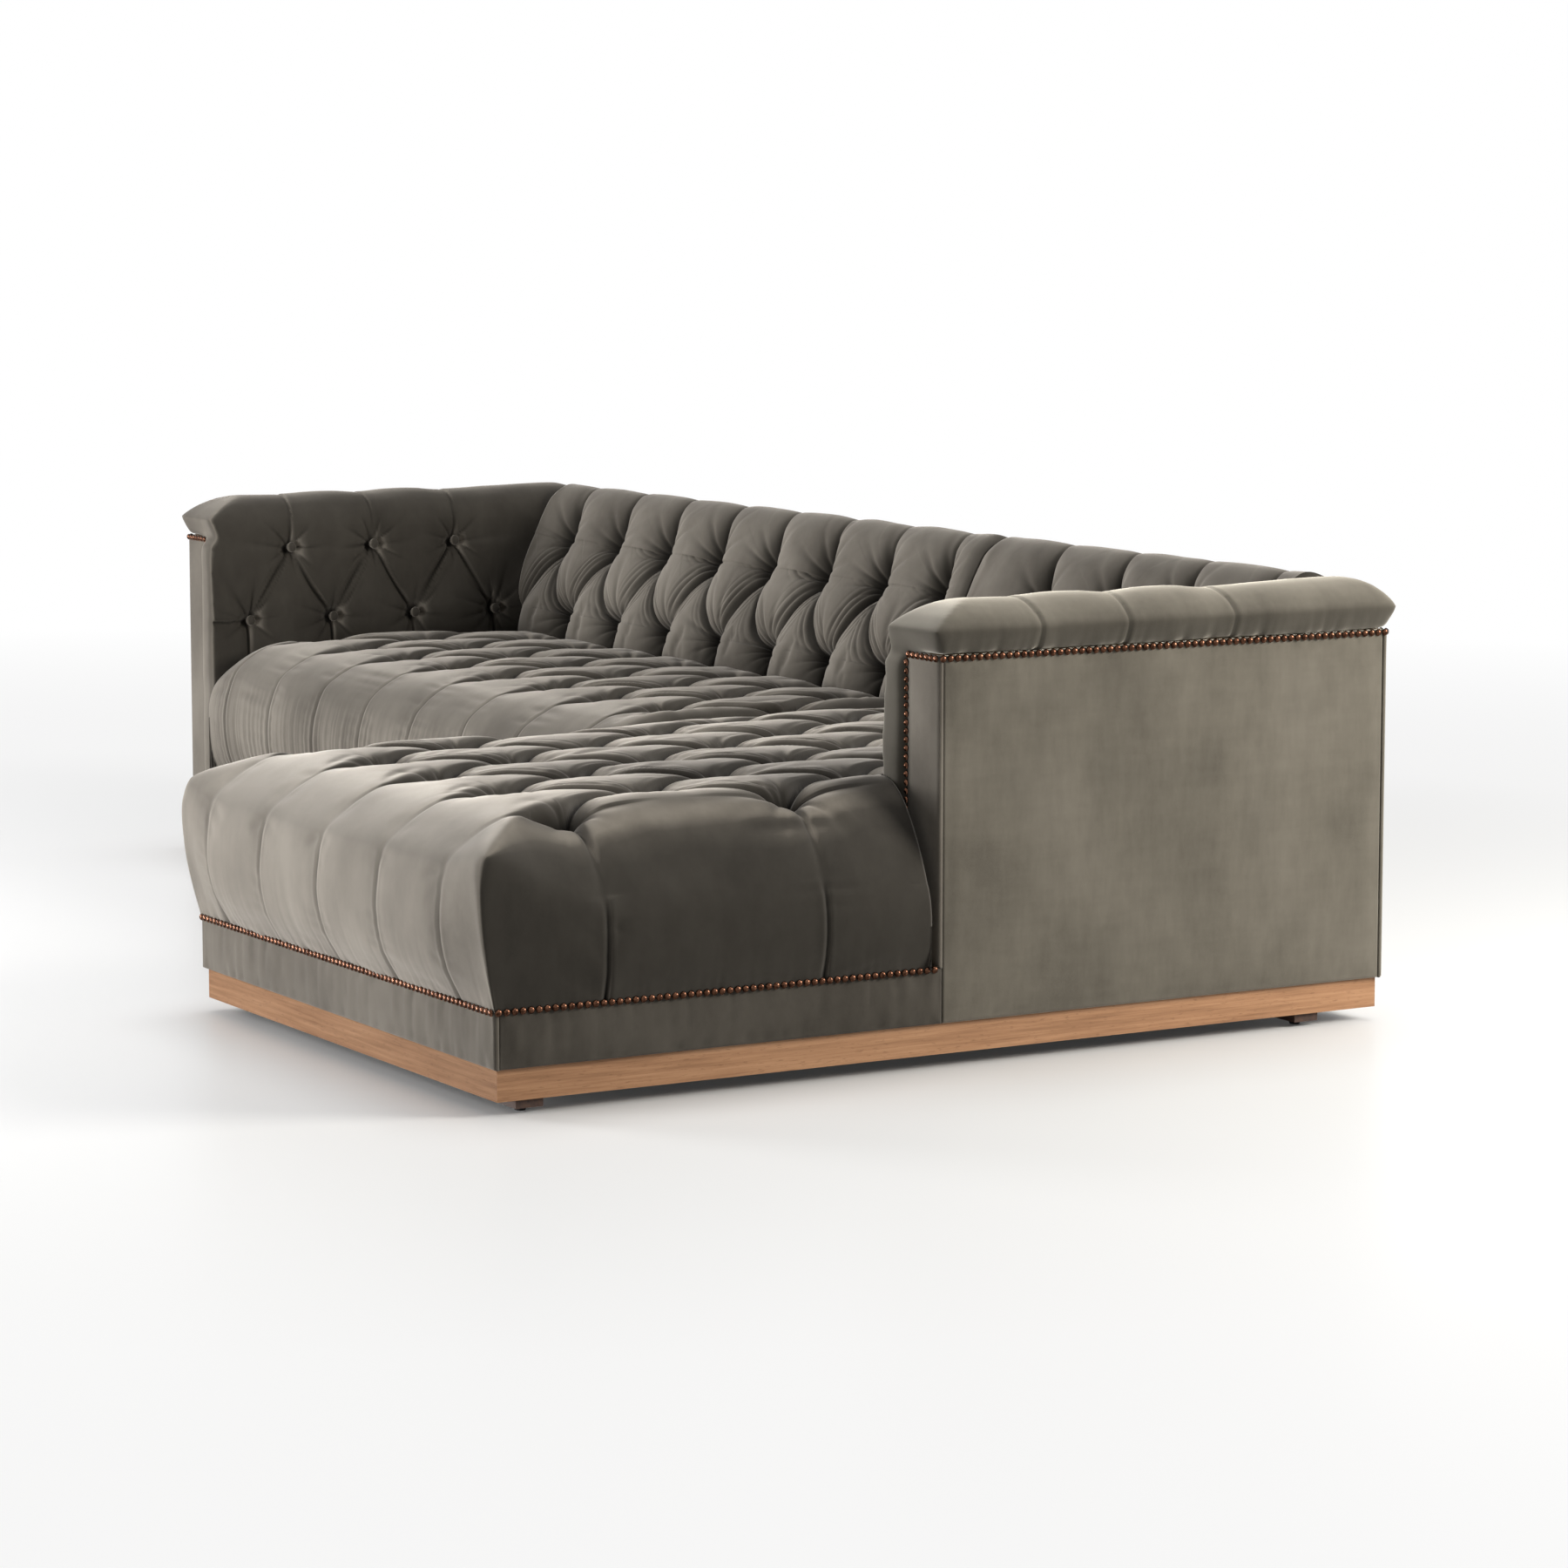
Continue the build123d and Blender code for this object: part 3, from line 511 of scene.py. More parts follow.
drape = {"frames": 12, "reach": 0.010, "size": 0.0094}
clothSettings = {
    "quality": 4, "mass": 0.25, "tension_stiffness": 25, "compression_stiffness": 25, "shear_stiffness": 12,
    "bending_stiffness": 0.4, "air_damping": 2, "use_pressure": True, "uniform_pressure_force": 4.0,
    "shrink_min": 0.005, "vertex_group_mass": "held", "pin_stiffness": 1,
}


def clothRun(mesh, held):
    # velvet with air pressure under it: held points keep their place, the rest swells and wrinkles
    points = readPoints(mesh)
    obj = placed("draping", mesh)
    group = obj.vertex_groups.new(name="held")
    for level in (0.25, 0.5, 0.75, 1.0):
        chosen = np.flatnonzero(np.abs(np.round(held * 4) / 4 - level) < 0.01)
        group.add(chosen.tolist(), level, "REPLACE")
    cloth = obj.modifiers.new("cloth", "CLOTH")
    for key, setting in clothSettings.items():
        setattr(cloth.settings, key, setting)
    cloth.settings.effector_weights.gravity = 0
    cloth.collision_settings.use_collision = False
    cloth.point_cache.frame_end = drape["frames"]
    scene = bpy.context.scene
    for number in range(1, drape["frames"] + 1):
        scene.frame_set(number)
    graph = bpy.context.evaluated_depsgraph_get()
    swollen = bpy.data.meshes.new_from_object(obj.evaluated_get(graph))
    moved = readPoints(swollen) - points
    bpy.data.meshes.remove(swollen)
    bpy.data.objects.remove(obj)
    scene.frame_set(1)
    length = np.linalg.norm(moved, axis=1)
    print("cloth", mesh.name, "moved", round(float(length.max()) * 1000, 1), "mm at most,",
          round(float(length.mean()) * 1000, 2), "mm on average")
    return moved * np.minimum(1, drape["reach"] / np.maximum(length, 1e-9))[:, None]


def swelling(name, uCells, vCells, fineness, place, depthAt, heldAt, keep):
    # how far the cloth moves, on a coarse grid, as a smooth function of u and v
    uCells, vCells = (round(count * fineness / drape["size"]) for count in (uCells, vCells))
    lattice = np.zeros((uCells + 4, vCells + 4, 3))
    mesh, u, v = gridMesh(name + "Coarse", uCells, vCells, keep)
    writePoints(mesh, pressedIn(place, depthAt, u, v, 0)[0])
    moved = clothRun(mesh, heldAt(u, v))
    lattice[np.rint(u * uCells).astype(int) + 1, np.rint(v * vCells).astype(int) + 1] = moved
    bpy.data.meshes.remove(mesh)

    def weights(f):
        return (1 - f)**3 / 6, (3 * f**3 - 6 * f**2 + 4) / 6, (-3 * f**3 + 3 * f**2 + 3 * f + 1) / 6, f**3 / 6

    def at(u, v):
        i, j = np.minimum((u * uCells).astype(int), uCells), np.minimum((v * vCells).astype(int), vCells)
        total = np.zeros((len(u), 3))
        for k, wide in enumerate(weights(u * uCells - i)):
            for m, deep in enumerate(weights(v * vCells - j)):
                total += (wide * deep)[:, None] * lattice[i + k, j + m]
        return total

    return at


def sculpted(name, uCells, vCells, fineness, place, depthAt, heldAt, keep=None, settle=None):
    # a fine grid laid on a smooth form, pressed in by the tufting and swollen by the cloth run
    swell = swelling(name, uCells, vCells, fineness, place, depthAt, heldAt, keep)
    mesh, u, v = gridMesh(name, uCells, vCells, keep)
    points, depth = pressedIn(place, depthAt, u, v, 1)
    points = points + swell(u, v)
    if settle:
        points = settle(mesh, u, v, points)
    writePoints(mesh, points)
    keepValues(mesh, "pressed", depth)
    return mesh


def onPleats(s, t, tuft, pitch, step, cfg):
    lines = diagonals(s, t, tuft, pitch, step, cfg)
    return np.logical_or.reduce([np.abs(off) < cfg["pleatHeld"] for *_, off in lines])


def nearTufts(s, t, tufts, reach):
    held = np.zeros_like(s)
    for tuftS, tuftT in tufts:
        held = np.maximum(held, np.hypot(s - tuftS, t - tuftT) < reach)
    return held


weld = 0.0002


def closeUp(mesh, move, weldFirst=False, weldLast=True, ends=()):
    # walls from the open edge to where each point is moved, and faces over what is still open
    shape = bmesh.new()
    shape.from_mesh(mesh)
    if weldFirst:
        bmesh.ops.remove_doubles(shape, verts=shape.verts, dist=weld)
    walls = bmesh.ops.extrude_edge_only(shape, edges=[e for e in shape.edges if e.is_boundary])["geom"]
    for item in walls:
        if isinstance(item, bmesh.types.BMVert):
            move(item.co)
    if weldLast:
        bmesh.ops.remove_doubles(shape, verts=shape.verts, dist=weld)
    for end in ends:
        # the end of a back's roll is closed on its own
        edge = [v for v in shape.verts if v.is_boundary and abs(v.co.x - end) < 0.004]
        edge = [v for v in edge if v.co.z > panelZ - 0.002]
        chain = [e for e in shape.edges if e.is_boundary and all(v in edge for v in e.verts)]
        bmesh.ops.contextual_create(shape, geom=edge + chain)
    bmesh.ops.holes_fill(shape, edges=[e for e in shape.edges if e.is_boundary], sides=0)
    bmesh.ops.recalc_face_normals(shape, faces=shape.faces)
    shape.to_mesh(mesh)
    shape.free()


# painted shade in creases and pits: how the points are smoothed to measure their depth, and the pressed
# depths that darken them
paintedShading = {
    "rounds": 8, "share": 0.6, "depth": 0.0030, "pressed": (0.008, 0.065),
    # where the chaise's top gets its painted highlight as it rolls over: by the slope of the cloth, and by
    # the distance from the side
    "rollSlope": (0.40, 1.00), "rollStart": 0.12, "rollFull": 0.06,
}


def paintLightAndShade(mesh, finish, facing):
    # painted light: how far each face turns towards the painted light; painted shade: how deep each point
    # lies between its neighbours
    points, normals = readPoints(mesh), readNormals(mesh)
    around = relaxed(mesh, points, np.full(len(points), paintedShading["share"]), paintedShading["rounds"])
    sunk = np.clip(((around - points) * normals).sum(axis=1) / paintedShading["depth"], 0, 1)
    if "pressed" in mesh.attributes:
        depth = np.empty(len(points), np.float32)
        mesh.attributes["pressed"].data.foreach_get("value", depth)
        sunk = np.clip(sunk + ease(depth, *paintedShading["pressed"]), 0, 1)
    if facing is not None:
        normals = np.tile(np.array(facing, float), (len(points), 1))
    # painted highlight where the chaise's top rolls over the side
    paintedRim = np.clip(normals[:, 0], 0, 1) * ease(normals[:, 2], *paintedShading["rollSlope"])
    paintedRim *= ease(points[:, 0], sideX - paintedShading["rollStart"], sideX - paintedShading["rollFull"])
    paintedRim *= rimHighlight.get(finish, 0)
    # painted light: lighter where the cloth faces the painted light, plus the painted highlight on the
    # chaise's roll
    keepValues(mesh, "nap", 0.5 + 0.5 * normals @ np.array(paintedLightFrom[finish]) + paintedRim)
    # painted shade where the cloth lies deep between its neighbours or is pressed in
    keepValues(mesh, "hollow", sunk)


def show(name, mesh, material, body, replaced=(), facing=None):
    obj = placed(name, mesh)
    mesh.materials.clear()
    mesh.materials.append(material)
    mesh.shade_smooth()
    # velvet gets painted light and shade
    if material.name in paintedLightFrom:
        paintLightAndShade(mesh, material.name, facing)
    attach(obj, body)
    if replaced:
        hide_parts(*replaced)
    return obj


# seat pads

# what all tufted pads share: the shape of a pleat, and what the cloth run holds in place
tufting = {
    "crown": 2.0, "slitWidth": 0.0045, "funnelEnd": 0.11,
    "pleatHeld": 0.005, "columnHeld": 0.006, "tuftHeld": 0.016,
}
outOfReach = 9.0  # added to points that no tuft may touch
cell = 0.0036
seat = {
    **tufting, "pitch": 0.207, "sofaPitch": 0.2015, "step": 0.185, "lastRow": 0.5075, "rear": 0.600,
    "chaiseRows": 7, "sofaRows": 3, "clearOfArm": 0.03,
    "sink": 0.048, "steep": 9.0, "edge": 0.90, "lean": 0.88, "share": 0.62, "saddle": 0.40,
    "bow": (0.030, -0.010), "funnel": 0.034, "funnelReach": 0.034, "pit": 0.014, "pitWidth": 0.017,
    "slit": 0.007, "lip": 0.0022, "lipReach": 0.014,
    "folds": 3.4, "foldWidth": 0.036, "foldSide": 0.20, "foldHeight": 0.0040,
    "fan": 0.032, "creases": 6, "creaseHeight": 0.0042, "rise": 0.0,
    "frontFade": 0.06, "frontReach": 0.12, "sideFade": 0.02, "sideReach": 0.055,
}
chaiseMiddle = (splitX + sideX) / 2
sofaMiddle = (sofaEndX - armX) / 2
wideColumns = [chaiseMiddle + seat["pitch"] * k for k in (-2, -1, 0, 1, 2)]
narrowColumns = [chaiseMiddle + seat["pitch"] * k for k in (-1.5, -0.5, 0.5, 1.5)]
sofaWide = [sofaMiddle + seat["sofaPitch"] * (k - 3.5) for k in range(8)]
sofaNarrow = [sofaMiddle + seat["sofaPitch"] * (k - 3) for k in range(7)]


def rowsOf(count):
    return [seat["lastRow"] - seat["step"] * (count - 1 - k) for k in range(count)]


def staggered(rows, wide, narrow):
    return [(x, y) for row, y in enumerate(rows) for x in (narrow if row % 2 else wide)]


chaiseRows, sofaRows = rowsOf(seat["chaiseRows"]), rowsOf(seat["sofaRows"])
sofaTufts = staggered(sofaRows, sofaWide, sofaNarrow)
chaiseTufts = [(x, y) for x, y in staggered(chaiseRows, wideColumns, narrowColumns)
               if y < armFrontY - seat["clearOfArm"] or x < armX - seat["clearOfArm"]]


def pleatDepth(off, cfg, share):
    # a crease with the cloth on its far side folded over it
    width = cfg["slitWidth"]
    crease = cfg["slit"] * np.exp(-(off / width)**2)
    lip = cfg["lip"] * np.exp(-np.abs(off - width) / cfg["lipReach"]) * (off > 0.3 * width)
    return share * (crease - lip)


def columnOff(x, columns):
    # signed distance to the nearest column
    return x - np.array(columns)[np.abs(x[:, None] - np.array(columns)).argmin(1)]


def onColumns(x, columns):
    return np.abs(columnOff(x, columns)) < tufting["columnHeld"]


def onRim(u, v):
    return (u < 0.001) | (u > 0.999) | (v < 0.001) | (v > 0.999)


def gathers(s, height, reach, size, tall, seed):
    # small puckers that the nails pull into the cloth, dying out away from the nail line
    flat = np.zeros_like(s)
    wave = smoothNoise(s, flat, size, seed) + 0.5 * smoothNoise(s, flat, size / 2.3, seed + 1)
    return tall * wave * np.exp(-np.clip(height, 0, None) / reach)


def toFloor(point):
    point.z = padZ


sofa = {
    # gathers: how far they reach, how wide and tall they are, and their seed
    "hem": (0.055, 0.016, 0.0016, 11), "frontFolds": (0.09, 0.011, 0.0011, 12), "foldsFrom": 0.10,
    "uneven": 0.0015, "unevenSize": 0.07, "armGap": 0.0005, "endsIn": 0.35,
    "toArm": 0.13, "armDrop": 0.045, "toChaise": 0.05, "chaiseDrop": 0.022,
}


def sofaSeat():
    left, right = -armX + sofa["armGap"], sofaEndX
    # from the nail line up the front and over the top to the back
    profile, length = smoothLine([
        (sofaY, padZ), (sofaY - 0.029, padZ + 0.050), (sofaY - 0.0395, padZ + 0.115),
        (sofaY - 0.034, padZ + 0.178), (sofaY - 0.010, padZ + 0.228), (sofaY + 0.042, crownZ - 0.021),
        (sofaY + 0.105, crownZ - 0.004), (sofaY + 0.171, crownZ), (0.35, crownZ), (0.54, crownZ - 0.002),
        (seat["rear"], crownZ - 0.022)])
    total = length[-1]
    first, pitch = sofaRows[0], seat["sofaPitch"]

    def place(u, v):
        x = left + (right - left) * u
        y = np.interp(v * total, length, profile[:, 0])
        z = np.interp(v * total, length, profile[:, 1])
        toArm = np.clip(1 - (x - left) / sofa["toArm"], 0, 1)**2
        toChaise = np.clip(1 - (right - x) / sofa["toChaise"], 0, 1)**2.5
        raised = ease(z, padZ + 0.08, crownZ)
        z = z - raised * (sofa["armDrop"] * toArm + sofa["chaiseDrop"] * toChaise)
        y = y + np.clip(sofaY - y, 0, None) * sofa["endsIn"] * np.maximum(toArm, toChaise)
        return np.column_stack([x, y, z])

    def depthAt(u, v, base, fine):
        x, y, z = base.T
        ahead, behind = y < first, y > sofaRows[-1]
        phase = (x - sofaWide[0]) / pitch
        height = np.clip((z - padZ) / (crownZ - padZ), 0, 1)
        fade = np.where(ahead, 1 - (1 - seat["frontFade"]) * ease(first - y, 0.0, seat["frontReach"]), 1)
        fade = fade * (0.3 + 0.7 * ease(height, 0.1, 0.9))
        pleat = seat["sink"] * pillow(toPleat(phase, seat["lean"]), before(phase, seat["lean"]), seat) * fade
        pleat += pleatDepth(columnOff(x, sofaWide), seat, 0.35 + 0.65 * fade)
        field = diamondDepth(x, y, (sofaWide[0], first), pitch, seat["step"], seat, fine)
        depth = np.where(ahead | behind, pleat, field)
        depth += tuftDepth(x, y + np.where(height < 0.75, outOfReach, 0), sofaTufts, seat, 3, fine)
        onFront = y < sofaY + 0.02
        upper = gathers(x, z - padZ - sofa["foldsFrom"], *sofa["frontFolds"])
        depth += gathers(x, z - padZ, *sofa["hem"]) * onFront
        depth += upper * onFront * (1 - ease(height, 0.55, 0.85))
        depth += sofa["uneven"] * smoothNoise(x, y + z, sofa["unevenSize"], 21)
        return depth

    def heldAt(u, v):
        x, y, z = place(u, v).T
        pleat = onColumns(x, sofaWide) & ((y < first) | (y > sofaRows[-1]))
        field = onPleats(x, y, (sofaWide[0], first), pitch, seat["step"], seat) & (y > first)
        tufts = nearTufts(x, y + np.where(z < crownZ - 0.07, outOfReach, 0), sofaTufts, seat["tuftHeld"])
        return np.maximum.reduce([onRim(u, v) | pleat, 0.5 * field, tufts])

    mesh = sculpted("sofaSeat", int((right - left) / cell), int(total / cell), cell, place, depthAt, heldAt)
    closeUp(mesh, toFloor, weldFirst=True)
    return show("sofa_seat_cushion", mesh, velvet, "sofa_section", ["sofa_seat_pad"])


chaise = {
    "face": 0.25, "cornerReach": 0.075, "sideRoll": 0.15, "frontRoll": 0.18, "blend": 4.0, "swellReach": 0.12,
    # the faces from the edge down to the nail line: how far they stand out, and how high they are
    "spots": (0, 0.1, 0.25, 0.45, 0.7, 1.0),
    "frontOut": (0.016, 0.028, 0.0365, 0.0395, 0.028, 0),
    "frontUp": (0.372, 0.354, 0.318, 0.262, 0.205, padZ),
    "sideOut": (-0.002, 0.004, 0.0095, 0.0115, 0.009, 0),
    "sideUp": (0.318, 0.303, 0.277, 0.240, 0.195, padZ),
    "cornerOut": (0.016, 0.025, 0.0295, 0.0245, 0.014, 0),
    "cornerSide": (0.004, 0.009, 0.012, 0.011, 0.007, 0),
    "cornerUp": (0.386, 0.370, 0.335, 0.275, 0.215, padZ),
    "frontHem": (0.040, 0.019, 0.0012, 31), "sideHem": (0.030, 0.019, 0.0010, 32),
    "uneven": 0.0014, "unevenSize": 0.08, "wallFade": 0.06, "wallDrop": 0.024, "armDrop": 0.030,
    "armFrom": -0.26, "rearDrop": 0.022, "rearRoll": 0.06,
    "held": 0.012, "edgeReach": 0.030, "edgeRounds": 12, "cornerSoft": 0.080, "cornerRounds": 25,
}


def chaiseSeat():
    left, right, front = splitX, sideX, chaiseY
    width, deep, face = right - left, seat["rear"] - front, chaise["face"]
    notch, leftEnd = armFrontY - 0.001, sofaY - 0.05
    faceCells, wideCells, deepCells = round(face / cell), round(width / cell), round(deep / cell)
    uCells, vCells = wideCells + 2 * faceCells, deepCells + faceCells
    firstX, lastX, firstRow, thirdRow = wideColumns[0], wideColumns[-1], chaiseRows[0], chaiseRows[2]

    def unrolled(u, v):
        i, j = u * uCells, v * vCells
        i, j = (np.where(np.abs(k - np.round(k)) < 1e-3, np.round(k), k) for k in (i, j))
        a = np.interp(i, [0, faceCells, faceCells + wideCells, uCells], [-face, 0, width, width + face])
        b = np.interp(j, [0, faceCells, vCells], [-face, 0, deep])
        return a, b

    def overEdge(a, b):
        # how far down the front and down the sides a point lies, from 0 to 1
        return np.clip(-b / face, 0, 1), np.clip(np.maximum(-a, a - width) / face, 0, 1)

    def along(key, w):
        line, _ = smoothLine(np.column_stack([chaise["spots"], chaise[key]]))
        return np.interp(w, line[:, 0], line[:, 1])

    def near(distance):
        return np.exp(-(distance / chaise["cornerReach"])**2)

    def swell(distance):
        return np.clip(1 - distance / chaise["swellReach"], 0, 1)**2

    def place(u, v):
        a, b = unrolled(u, v)
        down, aside = overEdge(a, b)
        inA, inB = np.clip(a, 0, width), np.clip(b, 0, deep)
        nearX = np.minimum(inA, width - inA)
        isLeft = a < width / 2
        sign = np.where(isLeft, -1, 1)
        joined = np.where(isLeft, ease(front + inB, leftEnd - 0.03, leftEnd + 0.05), 0)
        byArm = np.where(isLeft, 0, ease(front + inB, chaise["armFrom"], notch))
        frontCorner, sideCorner = near(nearX), near(inB)
        fOut = along("frontOut", down) * (1 - frontCorner) + along("cornerOut", down) * frontCorner
        fUp = along("frontUp", down) * (1 - frontCorner) + along("cornerUp", down) * frontCorner
        sOut = along("sideOut", aside) * (1 - sideCorner) + along("cornerSide", aside) * sideCorner
        sOut = sOut * (1 - joined)
        sUp = along("sideUp", aside) * (1 - sideCorner) + along("cornerUp", aside) * sideCorner
        sUp = sUp + joined * (1 - aside) * (crownZ - chaise["wallDrop"] - chaise["sideUp"][0])
        sUp = sUp - chaise["armDrop"] * byArm * (1 - aside)
        # plan: the faces swell, and the swell dies out inward on the top
        y = front + inB - np.where(aside > 0, along("cornerOut", aside), fOut) * swell(inB)
        x = left + inA + sign * np.where(down > 0, along("cornerSide", down), sOut) * swell(nearX)
        # height: the top falls to both edges
        frontFall = (crownZ - fUp) * np.clip(1 - inB / chaise["frontRoll"], 0, 1)**2.6
        sideFall = (crownZ - sUp) * np.clip(1 - nearX / chaise["sideRoll"], 0, 1)**2.4
        power = chaise["blend"]
        most = np.maximum(frontFall, sideFall)
        least = np.minimum(frontFall, sideFall)
        fall = (frontFall**power + sideFall**power)**(1 / power)
        fall *= 1 - (1 - 2**(-1 / power)) * least / np.maximum(most, 1e-6)
        toRear = np.clip((inB - deep + chaise["rearRoll"]) / chaise["rearRoll"], 0, 1)
        z = crownZ - fall - chaise["rearDrop"] * toRear**2
        z = np.where(down > 0, fUp, np.where(aside > 0, sUp, z))
        return np.column_stack([x, y, z])

    def depthAt(u, v, base, fine):
        x, y, z = base.T
        a, b = unrolled(u, v)
        down, aside = overEdge(a, b)
        inward = np.maximum(firstX - x, x - lastX)
        fadeF = 1 - (1 - seat["frontFade"]) * ease(firstRow - y, 0, seat["frontReach"])
        fadeF = fadeF * (1 - 0.5 * ease(down, 0.0, 0.9))
        fadeS = 1 - (1 - seat["sideFade"]) * ease(inward, 0, seat["sideReach"])
        fadeS = fadeS * (1 - 0.6 * ease(aside, 0.2, 1))
        inX = (x >= firstX) & (x <= lastX)
        endX = np.clip(1 - inward / (firstX - left), 0, 1)
        phase = (x - firstX) / seat["pitch"]
        ex = np.where(inX, toPleat(phase, seat["lean"]), endX)
        steep = np.where(inX, before(phase, seat["lean"]), x < firstX)
        endY = np.clip(1 - (firstRow - y) / (firstRow - front), 0, 1)
        lateY = np.clip(1 - (y - thirdRow) / (notch - thirdRow), 0, 1)
        midY = toPleat((y - firstRow) / (2 * seat["step"]), seat["lean"])
        ey = np.where(y < firstRow, endY, np.where(y < thirdRow, midY, lateY))
        tight = 0.5 + 0.4 * ease(inward, 0, 0.03)
        frontPart = seat["sink"] * pillow(ex, steep, seat) * fadeF
        sidePart = tight * pillow(ey, True, seat) + (1 - tight) * pillow(ey, False, seat)
        sidePart = seat["sink"] * sidePart * fadeS
        frontPleat = pleatDepth(columnOff(x, wideColumns), seat, 0.3 + 0.7 * fadeF)
        sidePleat = pleatDepth(columnOff(y, [firstRow, thirdRow]), seat, 0.65 + 0.35 * fadeS)
        ahead, beside = y < firstRow, ~inX
        both = np.maximum(frontPart, sidePart)
        outside = np.where(ahead & beside, both, np.where(ahead, frontPart, sidePart))
        outside = outside + np.where(ahead & (b > -face), frontPleat * (aside == 0), 0)
        outside = outside + np.where(beside, sidePleat * (down == 0), 0)
        field = diamondDepth(x, y, (firstX, firstRow), seat["pitch"], seat["step"], seat, fine)
        joined = np.where(x < chaiseMiddle, ease(y, leftEnd - 0.05, leftEnd + 0.05), 0)
        wall = field * joined * (1 - aside) * ease(x - left, 0, chaise["wallFade"])
        depth = np.where(~ahead & inX, field, outside * (1 - joined) + wall)
        depth = np.where((x > lastX) & (y > notch), field, depth)
        depth += tuftDepth(x + a - np.clip(a, 0, width), y + np.minimum(b, 0), chaiseTufts, seat, 7, fine)
        depth += gathers(x, z - padZ, *chaise["frontHem"]) * (down > 0)
        depth += gathers(y, z - padZ, *chaise["sideHem"]) * (aside > 0)
        depth += chaise["uneven"] * smoothNoise(x, y + z, chaise["unevenSize"], 23)
        return depth

    def keep(u, v):
        a, b = unrolled(u, v)
        if b < 0 and (a < 0 or a > width):
            return False
        return not (front + b > notch and left + a > armX - 0.001)

    def settle(mesh, u, v, points):
        # the edges are rounded over, and the two covers meet along each front corner
        a, b = unrolled(u, v)
        held, reach = chaise["held"], chaise["edgeReach"]
        fromSide = np.minimum(np.abs(a), np.abs(a - width))
        nearEdge = np.exp(-(fromSide / reach)**2) * (points[:, 1] < leftEnd)
        nearEdge = np.maximum(np.exp(-(b / reach)**2), nearEdge)
        nearCorner = np.exp(-(np.hypot(fromSide, np.abs(b)) / chaise["cornerSoft"])**2)
        seam = (fromSide < held) & (b < -0.05) | (np.abs(b) < held) & ((a < -0.05) | (a > width + 0.05))
        rim = (b <= -face + 1e-6) | (a <= -face + 1e-6) | (a >= width + face - 1e-6)
        points = relaxed(mesh, points, 0.5 * nearEdge * ~seam * ~rim, chaise["edgeRounds"])
        for turn in range(chaise["cornerRounds"]):
            for edge, way in ((0, -1), (width, 1)):
                own = np.flatnonzero((np.abs(a - edge) < 1e-6) & (b < 0))
                other = np.flatnonzero((b == 0) & (way * (a - edge) > 1e-6))
                own, other = own[np.argsort(-b[own])], other[np.argsort(way * a[other])]
                middle = (points[own] + points[other]) / 2
                points[own], points[other] = middle, middle
            if turn < chaise["cornerRounds"] - 1:
                points = relaxed(mesh, points, 0.6 * nearCorner * ~rim, 1)
        return points

    def heldAt(u, v):
        a, b = unrolled(u, v)
        x, y, z = place(u, v).T
        held = chaise["held"]
        aside = (a < 0) | (a > width)
        seam = ((np.abs(a) < held) | (np.abs(a - width) < held)) & (b < 0) | (np.abs(b) < held) & aside
        rim = (b < held - face) | (a < held - face) | (a > width + face - held) | (b > deep - held)
        byArm = (y > notch - held) & (x > armX - held)
        pleat = onColumns(x, wideColumns) & (y < firstRow) & ~aside
        field = onPleats(x, y, (firstX, firstRow), seat["pitch"], seat["step"], seat) & (y > firstRow)
        tufts = nearTufts(x, y + np.where(aside | (b < 0), outOfReach, 0), chaiseTufts, seat["tuftHeld"])
        return np.maximum.reduce([seam | rim | byArm | pleat, 0.5 * field, tufts])

    mesh = sculpted("chaiseSeat", uCells, vCells, cell, place, depthAt, heldAt, keep, settle)
    closeUp(mesh, toFloor, weldFirst=True)
    return show("chaise_seat_cushion", mesh, chaiseVelvet, "chaise_section", ["chaise_seat_pad"])


sofaSeat()
chaiseSeat()
print("seat pads made")

# back pads

back = {
    "cell": 0.0024, "armGap": 0.001, "foot": 0.606, "footZ": 0.444, "lean": 0.397,
    "upperZ": 0.616, "lowerZ": 0.474,
    # the rows are closer together on the tufted front than on the roll behind it
    "rows": (0, 0.12, 0.80, 1), "rowsAt": (0, 0.20, 0.66, 1),
    "rollLean": 0.90, "rollFade": 0.92, "uneven": 0.0015, "unevenSize": 0.07,
    "seamFade": 0.085, "seamRound": 0.03, "seamDepth": 0.012,
    "pillow": {
        **tufting, "sink": 0.044, "steep": 2.6, "edge": 0.86, "lean": 0.95, "share": 0.5, "saddle": 0.0,
        "bow": (0.034, 0.010), "funnel": 0.026, "funnelReach": 0.034, "pit": 0.014, "pitWidth": 0.016,
        "slit": 0.004, "lip": 0.0026, "lipReach": 0.016,
        "folds": 7.2, "foldWidth": 0.046, "foldSide": 0.0, "foldHeight": 0.0042,
        "fan": 0.036, "creases": 9, "creaseHeight": 0.0036, "rise": 0.45,
    },
}


def leanY(z):
    return back["foot"] + back["lean"] * (z - back["footZ"])


# from behind the seat up the front and over the roll to the nail line
backLine, backLength = smoothLine([
    (back["foot"] - 0.006, 0.33), (leanY(0.444) - 0.004, 0.444), (leanY(0.545) - 0.006, 0.545),
    (leanY(0.616), 0.616), (0.693, 0.655), (0.717, 0.692), (0.755, topZ - 0.001), (0.794, topZ - 0.009),
    (0.817, 0.690), (rollY, 0.668), (rollY - 0.006, 0.646), (rearY, panelZ)])
rising = backLength < np.interp(0.70, backLine[:300, 1], backLength[:300])
backRow = {key: np.interp(back[key], backLine[rising, 1], backLength[rising]) for key in ("upperZ", "lowerZ")}
backSpans = {
    "sofa": (-armX + back["armGap"], sofaEndX, sofaWide, sofaNarrow, seat["sofaPitch"]),
    "chaise": (splitX, armX - back["armGap"], narrowColumns, wideColumns[:4], seat["pitch"]),
}


